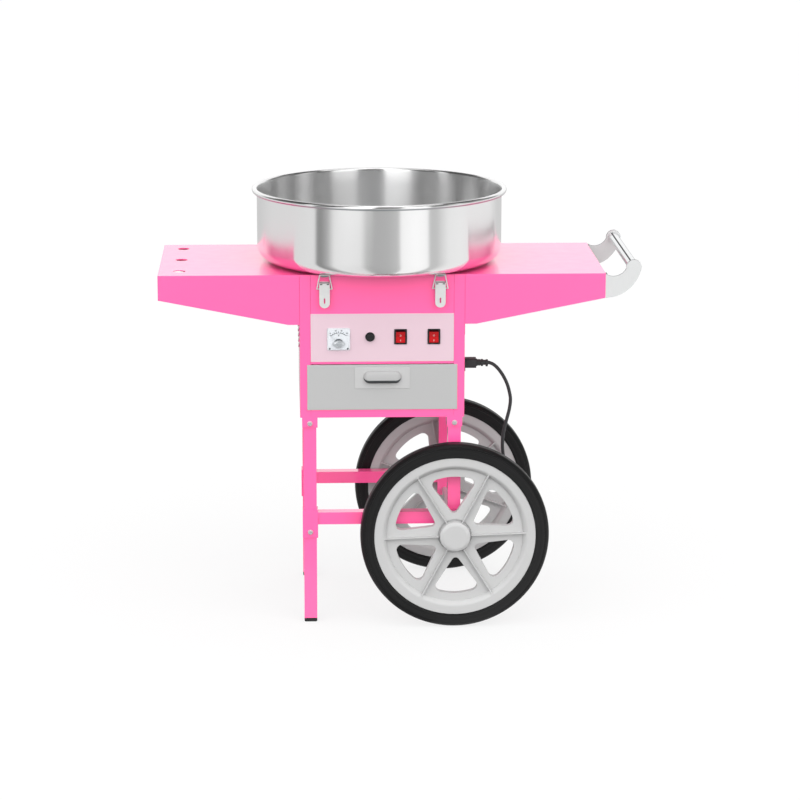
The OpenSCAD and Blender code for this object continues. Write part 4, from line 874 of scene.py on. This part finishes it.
class CART_OT_fastenings(bpy.types.Operator):
    """Bolts, nuts, washers and screws"""
    bl_idname = "cart.fastenings"
    bl_label = "Fastenings"

    HEAD_W, HEAD_H, NUT_H = 11.1, 4.5, 4.8
    SCREW, WASHER, AXLE_NUT = (8, 2), (24, 1.5), (21, 7)  # width and height
    # Where they sit, in mm: on the legs, the shelves' flanges, the handle's plates, the back and the axle
    LEG_X, FACE, SOCKET, LEG_BOLT_Z = 146.0, 178.0, 31.0, 418.7
    SHELF_X, SHELF_NUT_X, SHELF_Y, SHELF_Z = 167, 164, 120, 672.5
    PLATE_X, PLATE_NUT_X, PLATE_Y, PLATE_Z = 451, 445.5, 164, (706.5, 687)
    SCREW_X, SCREW_Z = 120, (438, 716)
    AXLE_Z, HUB_END = 191.5, 216.1
    # Shapes one wide and one high: rings of (radius, height, hexagonal), or an outline of (radius, height)
    SIDES, WASHER_SIDES = 24, 48
    SHANK_R = 0.26
    BUTTON_HEAD = (
        (0.27, 0, False), (0.5, 0, False), (0.5, 0.18, False), (0.47, 0.45, False), (0.4, 0.74, False),
        (0.31, 0.93, False), (0.26, 1.0, False), (0.24, 0.98, True), (0.23, 0.45, True))
    HEX_NUT = (
        (0.5, 0.0, True), (0.5, 0.86, True), (0.45, 1.0, False), (0.28, 1.0, False), (0.27, 1.16, False),
        (0.24, 1.22, False))
    RING = ((0.26, 0), (0.48, 0), (0.5, 0.2), (0.5, 0.8), (0.48, 1), (0.26, 1))

    def stacked(self, name, levels):
        """A shape out of rings, closed at both ends."""
        form = bmesh.new()
        rings = [circle(form, radius, height, self.SIDES, hexagonal) for radius, height, hexagonal in levels]
        skin(form, rings)
        form.faces.new(rings[-1])
        form.faces.new(list(reversed(rings[0])))
        return kept(form, name)

    def button_head(self, shank):
        """A round head with a hexagonal socket, and a shank so many times as long as the head is high."""
        return self.stacked("button_head", ((self.SHANK_R, -shank, False),) + self.BUTTON_HEAD)

    def spots(self):
        legs, sheets, plates, nuts, screws, washers, axle_nuts = [], [], [], [], [], [], []
        right, back = Vector((1, 0, 0)), Vector((0, 1, 0))
        for sy in (-1, 1):
            for x, z in ((self.LEG_X, self.LEG_BOLT_Z), (-self.LEG_X, self.LEG_BOLT_Z),
                         (-self.LEG_X, self.AXLE_Z)):
                legs.append((at(x, sy * self.FACE, z), sy * back))
                nuts.append((at(x, sy * (self.FACE - self.SOCKET), z), -sy * back))
            for sx in (-1, 1):
                sheets.append((at(sx * self.SHELF_X, sy * self.SHELF_Y, self.SHELF_Z), sx * right))
                nuts.append((at(sx * self.SHELF_NUT_X, sy * self.SHELF_Y, self.SHELF_Z), -sx * right))
            for z in self.PLATE_Z:
                plates.append((at(self.PLATE_X, sy * self.PLATE_Y, z), right))
                nuts.append((at(self.PLATE_NUT_X, sy * self.PLATE_Y, z), -right))
            for y in (self.FACE, self.HUB_END):
                washers.append((at(self.LEG_X, sy * y, self.AXLE_Z), sy * back))
            axle_nuts.append((at(self.LEG_X, sy * (self.HUB_END + self.WASHER[1]), self.AXLE_Z), sy * back))
        for x in (-self.SCREW_X, self.SCREW_X):
            screws += [(at(x, self.FACE, z), back) for z in self.SCREW_Z]
        return legs, sheets, plates, nuts, screws, washers, axle_nuts

    def execute(self, context):
        legs, sheets, plates, nuts, screws, washers, axle_nuts = self.spots()
        nut, head = self.stacked("hex_nut", self.HEX_NUT), (self.HEAD_W, self.HEAD_H)
        washer = turned("washer", self.RING, self.WASHER_SIDES)
        smooth(washer)
        for name, places, shape, (width, height) in (
                ("leg_bolts", legs, self.button_head(8.0), head),
                ("shelf_bolts", sheets, self.button_head(1.7), head),
                ("handle_bolts", plates, self.button_head(2.2), head),
                ("panel_screws", screws, self.button_head(3.0), self.SCREW),
                ("axle_washers", washers, washer, self.WASHER),
                ("axle_nuts", axle_nuts, nut, self.AXLE_NUT),
                ("bolt_nuts", nuts, nut, (self.HEAD_W, self.NUT_H))):
            piece = set_on_points(name, places, shape, width, height, "zinc")
            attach(piece, "cart")
        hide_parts("fasteners")
        return {"FINISHED"}


class CART_OT_wheels(bpy.types.Operator):
    """Tyres, rims, hub caps and axle"""
    bl_idname = "cart.wheels"
    bl_label = "Wheels"

    AXLE_X, WHEEL_Y, AXLE_Z = 146.0, 202.7, 191.5
    TYRE_R, SEAT_R, HALF_W, SHOULDER = 191.5, 163.6, 20.0, 14.0
    # The wall, as (radius, how far in from the tyre's full width): its seat on the rim, a ridge and a channel
    WALL = ((SEAT_R, 1.2), (SEAT_R + 1.2, 0.4), (166.5, 0.4), (167.4, 0), (169.2, 0), (170, 0.6), (175, 0.6),
            (176.5, 0))
    # Fine lines round the shoulder: where each lies in degrees, and a line as (degrees from there, depth)
    LINES = (68, 54, 40, 26)
    LINE = ((2.6, 0), (0.9, 0.7), (-0.9, 0.7), (-2.6, 0))
    # The tread's groove on each side of the middle: half its width at the top and at the foot
    GROOVE_AT, GROOVE_TOP, GROOVE_FOOT = 3.0, 1.3, 0.8

    def tyre_outline(self, groove):
        """Ridged walls, round shoulders with fine moulded lines, and grooves round the tread."""
        flat, low = self.HALF_W - self.SHOULDER, self.TYRE_R - self.SHOULDER
        half = [(r, self.HALF_W - inset) for r, inset in self.WALL]
        for middle in self.LINES:
            for turn, depth in self.LINE:
                half += arc(low, flat, self.SHOULDER - depth, middle + turn, middle + turn, 0)
        half += arc(low, flat, self.SHOULDER, 12, 0, 2)
        for depth, across in ((0, self.GROOVE_TOP), (groove, self.GROOVE_FOOT), (groove, -self.GROOVE_FOOT),
                              (0, -self.GROOVE_TOP)):
            half.append((self.TYRE_R - depth, self.GROOVE_AT + across))
        return half + [(r, -h) for r, h in reversed(half)]

    def execute(self, context):
        outline = self.tyre_outline(context.scene.cart_sizes.groove / MM)
        for side, sign in (("front", -1), ("back", 1)):
            place = quarter_turn(at(self.AXLE_X, sign * self.WHEEL_Y, self.AXLE_Z), "X")
            tyre = lathe("tyre_" + side + "_rubber", outline, "tyre", place, 160)
            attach(tyre, "wheel_" + side)
            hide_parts("tyre_" + side)
            soften("rim_" + side, "rim", 0.9, 40)
            soften("hub_cap_" + side, "rim", 0.5, 40)
        soften("axle", "zinc", 0.6)
        return {"FINISHED"}


class CART_OT_bowl(bpy.types.Operator):
    """Spun bowl with its rolled rim"""
    bl_idname = "cart.bowl"
    bl_label = "Bowl"

    INSIDE_R, OUTSIDE_R = 249.4, 250.1  # what lies within the wall, and what lies beyond it

    def outline(self):
        wall, thick, corner, floor, middle = 250.0, 1.2, 28.0, 726.5, 840
        flat, inner = wall - corner, wall - thick
        neck, neck_top, ease = 30, 742.5, 0.6  # the upturned hole in the middle
        foot_in, foot_out, foot = 95, 105, floor - 3.5  # the ring that the bowl stands on
        bead_r, bead_z, bead, rim_out, rim_in = 254.8, 868.8, 5.2, 864.8, 866  # the rolled rim
        points = [(neck, floor), (foot_in, floor), (foot_in, foot), (foot_out, foot), (foot_out, floor)]
        points += arc(flat, floor + corner, corner, -90, 0, 14)
        points += [(wall, middle), (wall, rim_out)]
        points += arc(bead_r, bead_z, bead, -158, 172, 26)
        points += [(inner, rim_in), (inner, middle)]
        points += arc(flat, floor + corner, corner - thick, 0, -90, 14)
        return points + [(neck + thick, floor + thick), (neck + thick, neck_top - ease),
                         (neck + thick / 2, neck_top), (neck, neck_top - ease)]

    def scrubbed(self, face):
        """The inside: the floor from above, and the faces that look at the axis."""
        out = (face.center - at(0, 0, 0)).to_2d()
        looks_in = face.normal.z > 0.5 or face.normal.to_2d().dot(out) < -1e-6
        return out.length < self.INSIDE_R * MM and looks_in

    def rim_underside(self, face):
        """The rolled rim's whole underside, which gets a darker and duller steel."""
        out = (face.center - at(0, 0, 0)).to_2d()
        return out.length > self.OUTSIDE_R * MM and face.normal.z < -0.3

    def execute(self, context):
        bowl = lathe("spun_bowl", self.outline(), "bowl", Matrix.Translation(at(0, 0, 0)), 256)
        paint(bowl, "scrubbed", self.scrubbed)
        paint(bowl, "sheet", self.rim_underside)
        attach(bowl, "cart")
        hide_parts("bowl")
        return {"FINISHED"}


class CART_OT_latches(bpy.types.Operator):
    """Draw latches that hold the bowl"""
    bl_idname = "cart.latches"
    bl_label = "Latches"

    # Painted shade on a lever, from the middle of its top, as (left, foot, right, top): two dark patches for
    # its slots, and a dark line along its top where the gap under the base falls into shade
    SHADE_MARKS = ((-8.9, -4.9, -4.3, -3.0), (4.3, -4.9, 8.9, -3.0), (-9.8, -1.3, 9.8, -0.2))
    PROUD = 0.03

    def execute(self, context):
        soften("bowl_keepers", "sheet", 0.3)
        soften("latch_bases", "latch", 0.3)
        for side in ("front_left", "front_right", "back_left", "back_right"):
            soften("latch_lever_" + side, "latch", 0.45)
            soften("latch_bail_" + side, "latch", 0.2, 50)
            self.marks(side)
        return {"FINISHED"}

    def marks(self, side):
        """Painted shade on a lever: its two slots as dark patches, and a dark line along its top."""
        low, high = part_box("latch_lever_" + side)
        x = (low.x + high.x) / 2
        y = low.y - self.PROUD * MM if side.startswith("front") else high.y + self.PROUD * MM
        outlines = [upright((x + left * MM, high.z + foot * MM), (x + right * MM, high.z + top * MM), y)
                    for left, foot, right, top in self.SHADE_MARKS]
        thin_print("latch_slots_" + side, outlines, "ink_and_shade", "lever_" + side)


class CART_OT_drawer(bpy.types.Operator):
    """Drawer, its pull and its runners"""
    bl_idname = "cart.drawer"
    bl_label = "Drawer"

    # The pressed hood's section: how far it stands out, and its height over the plate's middle
    HOOD = ((-0.6, 14.5), (1.5, 14.2), (4, 13.2), (5.8, 11.6), (7, 9.4), (7.9, 6.4), (8.5, 3), (8.9, -0.6),
            (9.1, -3.6), (9, -5.6), (8.5, -7.4), (7.6, -8.8), (6.3, -9.6), (5, -9.9), (3.9, -9.6))
    HOOD_BARE = 8  # the section's steps from here on, and the inside, are in dark steel: painted shade under the curled lip
    HOOD_HALF, HOOD_END, HOOD_TIP_Z, HOOD_WALL = 38.0, 12.0, 2.5, 0.9
    HOOD_TURN, HOOD_STEPS = 84, 10  # how far its ends turn into the plate, in degrees
    PLATE_T, PLATE_CORNER = 1.0, 2.0

    def hood(self, middle, face):
        """The hood: it swells out of the plate from above, and its lip curls under and rises at both ends."""
        form = bmesh.new()
        straight = self.HOOD_HALF - self.HOOD_END
        turns = [math.radians(self.HOOD_TURN * i / self.HOOD_STEPS) for i in range(self.HOOD_STEPS + 1)]
        columns = [(-straight - self.HOOD_END * math.sin(t), math.cos(t)) for t in reversed(turns)]
        columns += [(straight + self.HOOD_END * math.sin(t), math.cos(t)) for t in turns]
        rows = [[form.verts.new((
            middle.x + x * MM, face - out * share * MM,
            middle.z + (self.HOOD_TIP_Z + (z - self.HOOD_TIP_Z) * share) * MM)) for out, z in self.HOOD]
            for x, share in columns]
        steps = len(self.HOOD) - 1
        for a, b in zip(rows, rows[1:]):
            for k in range(steps):
                form.faces.new((a[k], a[k + 1], b[k + 1], b[k]))
        mesh = bpy.data.meshes.new("pull_hood")
        form.to_mesh(mesh)
        form.free()
        made = mesh_object("pull_hood", mesh, "pull")
        # The hood's face in the darker grey: painted shade on the pull's own paint.
        paint(made, "hood", lambda part: part.index % steps < self.HOOD_BARE)
        # The lip's underside and the hood's inside in dark steel: painted shade.
        paint(made, "dark_steel_and_shade", lambda part: part.index % steps >= self.HOOD_BARE)
        tuned(made.modifiers.new("wall", "SOLIDIFY"), thickness=self.HOOD_WALL * MM, offset=-1,
              material_offset=1, material_offset_rim=1)
        made = settle(made)
        smooth(made.data, 50)
        return made

    def pressed_pull(self):
        """The pull's plate and the hood that is pressed out of it, as one piece."""
        low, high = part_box("drawer_pull")
        middle, face, corner = (low + high) / 2, high.y - self.PLATE_T * MM, self.PLATE_CORNER * MM
        half_w, half_h = (high.x - low.x) / 2 - corner, (high.z - low.z) / 2 - corner
        outline = []
        for sx, sz, start in ((1, 1, 0), (-1, 1, 90), (-1, -1, 180), (1, -1, 270)):
            outline += arc(middle.x + sx * half_w, middle.z + sz * half_h, corner, start, start + 90, 6)
        form = bmesh.new()
        sides = [[form.verts.new((x, y, z)) for x, z in outline] for y in (face, high.y)]
        for side in sides:
            form.faces.new(side)
        skin(form, sides)
        plate = round_edges(mesh_object("pressed_pull", kept(form, "pressed_pull"), "pull"), 0.35)
        for finish in ("hood", "dark_steel_and_shade"):
            plate.data.materials.append(FINISH[finish])
        hood = self.hood(middle, face)
        form = bmesh.new()
        form.from_mesh(plate.data)
        form.from_mesh(hood.data)
        form.to_mesh(plate.data)
        form.free()
        bpy.data.objects.remove(hood)
        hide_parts("drawer_pull")
        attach(plate, "drawer")

    def execute(self, context):
        soften("drawer_front", "drawer", 0.5)
        self.pressed_pull()
        soften("drawer_tray", "sheet", 0.5)
        soften("drawer_runners", "sheet", 0.4)
        return {"FINISHED"}


class CART_OT_meter(bpy.types.Operator):
    """Panel meter with its scale, needle and cover"""
    bl_idname = "cart.meter"
    bl_label = "Meter"

    MIDDLE_X, MIDDLE_Z, PIVOT_Z, DIAL_Y, COVER_Y = -87.535, 593.0216, 584.0216, -181.0, -189.0
    FRAME_PROUD, PRINT_PROUD = 0.2, 0.08
    # The scale: its radius, half its sweep in degrees, its arc's steps, and how long its ticks are by turns
    SCALE_R, SCALE_HALF, ARC_STEPS, TICKS = 22.0, 45, 24, (2.8, 1.6)
    LINE = 1.2  # the print's line width, drawn coarser than a real dial's, which is too fine to show
    # The print: each text with its radius, its place in degrees and its height
    PRINT = (("0", 26.6, -38.7, 3.8), ("10", 26.6, -12.9, 3.8), ("20", 26.6, 12.9, 3.8),
             ("30", 26.6, 38.7, 3.8), ("V", 16.6, 0, 6.0))
    PRINT_BOLD, PRINT_T = 0.2, 0.03
    # The cap before the needle's pivot, over a black disc of painted shade whose top shows above the cap as a
    # dark crescent: outlines of (radius, height), how far each sits below the pivot, and how much wider than
    # high it is
    SHADE, SHADE_DROP, SHADE_WIDEN = ((0, 0), (7.8, 0), (7.8, 0.3), (0, 0.3)), -2.6, 1.0
    BOSS = ((0, 0.3), (7, 0.3), (7, 0.5), (6.4, 1.1), (5.2, 1.8), (3.5, 2.3), (0, 2.6))
    BOSS_DROP, BOSS_WIDEN, BOSS_Y = 0.5, 1.75, -184.0
    # The cover's screws: a shape one wide and one high, its size, and how far out and down they sit
    SCREW, SCREW_W, SCREW_H, SCREW_AT = ((0, 0), (0.5, 0), (0.5, 0.4), (0.36, 0.9), (0, 1)), 3.6, 0.9, 18

    def on_dial(self, radius, degrees):
        """A point on the dial, so far from the needle's pivot and so far round from the top."""
        angle = math.radians(degrees)
        return at(self.MIDDLE_X + radius * math.sin(angle), self.DIAL_Y - self.PRINT_PROUD,
                  self.PIVOT_Z + radius * math.cos(angle))

    def strip(self, inner, outer, start, end):
        return [self.on_dial(radius, degrees)
                for radius, degrees in ((inner, start), (outer, start), (outer, end), (inner, end))]

    def scale(self, ticks):
        """The scale's arc and its ticks."""
        def along(i, steps):
            return self.SCALE_HALF * (2 * i / steps - 1)
        strips = [self.strip(self.SCALE_R - self.LINE, self.SCALE_R, along(i, self.ARC_STEPS),
                             along(i + 1, self.ARC_STEPS)) for i in range(self.ARC_STEPS)]
        side = math.degrees(self.LINE / 2 / self.SCALE_R)
        for i in range(ticks):
            degrees, end = along(i, ticks - 1), self.SCALE_R + self.TICKS[i % 2]
            strips.append(self.strip(self.SCALE_R, end, degrees - side, degrees + side))
        thin_print("meter_scale", strips, "ink_and_shade", "cart")

    def numeral(self, text, radius, degrees, size):
        words = tuned(bpy.data.curves.new("numeral_" + text, "FONT"), body=text, size=size * MM,
                      align_x="CENTER", align_y="CENTER", offset=self.PRINT_BOLD * MM,
                      extrude=self.PRINT_T * MM)
        made = settle(linked("numeral_" + text, words))
        made.data.transform(quarter_turn(self.on_dial(radius, degrees), "X"))
        coat(made.data, "ink_and_shade")
        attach(made, "cart")

    def boss(self, name, outline, drop, widen, finish, slot):
        place = quarter_turn(at(self.MIDDLE_X, self.BOSS_Y, self.PIVOT_Z - drop), "X")
        made = lathe(name, outline, finish, place @ Matrix.Diagonal((widen, 1, 1, 1)), 64)
        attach(made, "cart")

    def screws(self):
        shape = turned("cover_screw", self.SCREW, 32)
        smooth(shape)
        spots = [(at(self.MIDDLE_X + x, self.COVER_Y, self.MIDDLE_Z - self.SCREW_AT), FORWARD)
                 for x in (-self.SCREW_AT, self.SCREW_AT)]
        screws = set_on_points("meter_screws", spots, shape, self.SCREW_W, self.SCREW_H, "nylon")
        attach(screws, "cart")

    def execute(self, context):
        case = soften("meter_case", "abs", 0.4)
        paint(case, "head", lambda face: face.center.y < (self.DIAL_Y - self.FRAME_PROUD) * MM)
        self.scale(context.scene.cart_sizes.ticks)
        for words in self.PRINT:
            self.numeral(*words)
        coat(NODES["meter_needle"].data, "zinc")
        soften("meter_lens", "lens", 0.5)
        # A black disc behind the cap: painted shade, showing as a dark crescent over it.
        self.boss("meter_shade", self.SHADE, self.SHADE_DROP, self.SHADE_WIDEN, "nylon", "black_plastic")
        self.boss("meter_boss", self.BOSS, self.BOSS_DROP, self.BOSS_WIDEN, "head", "zinc")
        self.screws()
        return {"FINISHED"}


class CART_OT_switches(bpy.types.Operator):
    """Rocker switches with their marks"""
    bl_idname = "cart.switches"
    bl_label = "Switches"

    SWITCHES = (("heat", 36.449), ("power", 103.32))
    PIVOT_Y, PIVOT_Z, TILT = -176.0, 597.0216, 10.0
    PROUD, DIP, EDGE = 6.5, 4.6, 11.5
    MARGIN = -0.9  # faces that turn further than this from the front are the rocker's rounded margins, in a near-black red as painted shade
    # The marks, in mm across a rocker's face and along it from its middle: a ring and a bar
    OFF_AT, OFF_OUT, OFF_IN, OFF_STEPS = 3.4, 1.7, 1.2, 24
    ON = ((-0.3, 5.2), (0.3, 5.2), (0.3, 8.6), (-0.3, 8.6))
    MARK_PROUD, MARK_T = 0.1, 0.12

    def on_rocker(self, middle_x, side, across, along):
        """A point just proud of a rocker's upper (side 1) or lower (side -1) face."""
        slope = (self.PROUD - self.DIP) / self.EDGE
        local = Vector((across, -(self.DIP + slope * along) - self.MARK_PROUD, side * along))
        local.rotate(Matrix.Rotation(math.radians(self.TILT), 3, "X"))
        return at(middle_x + local.x, self.PIVOT_Y + local.y, self.PIVOT_Z + local.z)

    def ring(self, middle):
        pieces = []
        for i in range(self.OFF_STEPS):
            corners = []
            for radius, k in ((self.OFF_OUT, i), (self.OFF_OUT, i + 1), (self.OFF_IN, i + 1),
                              (self.OFF_IN, i)):
                angle = 2 * math.pi * k / self.OFF_STEPS
                across, along = radius * math.cos(angle), self.OFF_AT + radius * math.sin(angle)
                corners.append(self.on_rocker(middle, 1, across, along))
            pieces.append(corners)
        return pieces

    def execute(self, context):
        soften("switch_frames", "nylon", 0.4)
        for name, middle in self.SWITCHES:
            body = name + "_switch"
            rocker = soften(name + "_rocker", "rocker", 1.3)
            # The rounded margins in near-black red: painted shade.
            paint(rocker, "painted_shade_red", lambda face: face.normal.y > self.MARGIN)
            thin_print(name + "_off_mark", self.ring(middle), "mark", body, self.MARK_T)
            bar = [[self.on_rocker(middle, -1, across, along) for across, along in self.ON]]
            thin_print(name + "_on_mark", bar, "mark", body, self.MARK_T)
        return {"FINISHED"}


class CART_OT_fuse(bpy.types.Operator):
    """Fuse holder and its ribbed cap"""
    bl_idname = "cart.fuse"
    bl_label = "Fuse"

    MIDDLE_X, MIDDLE_Z, CAP_R, CAP_Y0, CAP_H = -24.682, 597.0216, 6.5, -181.8, 6.0
    RIB_W, RIB_H, RIB_SIDES, RIB_FOOT_R, RIB_TOP_R = 0.9, 4.6, 10, 0.5, 0.42

    def execute(self, context):
        grips = context.scene.cart_sizes.grips
        soften("fuse_holder", "nylon", 0.5)
        soften("fuse_cap", "nylon", 0.4)
        form = bmesh.new()
        bmesh.ops.create_cone(form, cap_ends=True, segments=self.RIB_SIDES, radius1=self.RIB_FOOT_R,
                              radius2=self.RIB_TOP_R, depth=1.0)
        places = arc(self.MIDDLE_X, self.MIDDLE_Z, self.CAP_R, 0, 360, grips)[:grips]
        spots = [(at(x, self.CAP_Y0 - self.CAP_H / 2, z), FORWARD) for x, z in places]
        ribs = set_on_points("fuse_cap_grips", spots, kept(form, "grip_rib"), self.RIB_W, self.RIB_H, "nylon")
        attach(ribs, "fuse")
        return {"FINISHED"}


class CART_OT_works(bpy.types.Operator):
    """Motor, bracket, spinner head and heater"""
    bl_idname = "cart.works"
    bl_label = "Works"

    def execute(self, context):
        for node, finish, edge in (
                ("motor", "motor", 2.0), ("motor_bracket", "sheet", 0.6), ("spinner_shaft", "zinc", 0.6),
                ("spinner_pan", "head", 0.5), ("spinner_cap", "head", 0.5), ("heater_ring", "heater", 0.4)):
            soften(node, finish, edge)
        return {"FINISHED"}


class CART_PT_pieces(bpy.types.Panel):
    """Lists the cart's pieces and settings"""
    bl_idname = "CART_PT_pieces"
    bl_label = "Cotton candy cart"
    bl_space_type = "VIEW_3D"
    bl_region_type = "UI"
    bl_category = "Cart"

    def draw(self, context):
        for made in OPERATORS:
            self.layout.operator(made.bl_idname)
        for group in (context.scene.cart_colours, context.scene.cart_sizes, context.scene.cart_stage):
            box = self.layout.box()
            for name in group.__annotations__:
                box.prop(group, name)


GROUPS = (CartColours, CartSizes, CartStage)
OPERATORS = (
    CART_OT_stage, CART_OT_cord, CART_OT_cabinet, CART_OT_shelves, CART_OT_handle, CART_OT_legs,
    CART_OT_fastenings, CART_OT_wheels, CART_OT_bowl, CART_OT_latches, CART_OT_drawer, CART_OT_meter,
    CART_OT_switches, CART_OT_fuse, CART_OT_works)
CLASSES = GROUPS + OPERATORS + (CART_PT_pieces,)


def register():
    for made in CLASSES:
        bpy.utils.register_class(made)
    bpy.types.Scene.cart_colours = bpy.props.PointerProperty(type=CartColours)
    bpy.types.Scene.cart_sizes = bpy.props.PointerProperty(type=CartSizes)
    bpy.types.Scene.cart_stage = bpy.props.PointerProperty(type=CartStage)


def unregister():
    for name in ("cart_colours", "cart_sizes", "cart_stage"):
        delattr(bpy.types.Scene, name)
    for made in reversed(CLASSES):
        bpy.utils.unregister_class(made)


def main():
    register()
    FINISH.update(make_finishes())
    bpy.ops.cart.stage()
    bpy.ops.cart.cord()
    bpy.ops.cart.cabinet()
    bpy.ops.cart.shelves()
    bpy.ops.cart.handle()
    bpy.ops.cart.legs()
    bpy.ops.cart.fastenings()
    bpy.ops.cart.wheels()
    bpy.ops.cart.bowl()
    bpy.ops.cart.latches()
    bpy.ops.cart.drawer()
    bpy.ops.cart.meter()
    bpy.ops.cart.switches()
    bpy.ops.cart.fuse()
    bpy.ops.cart.works()


if __name__ == "__main__":
    main()
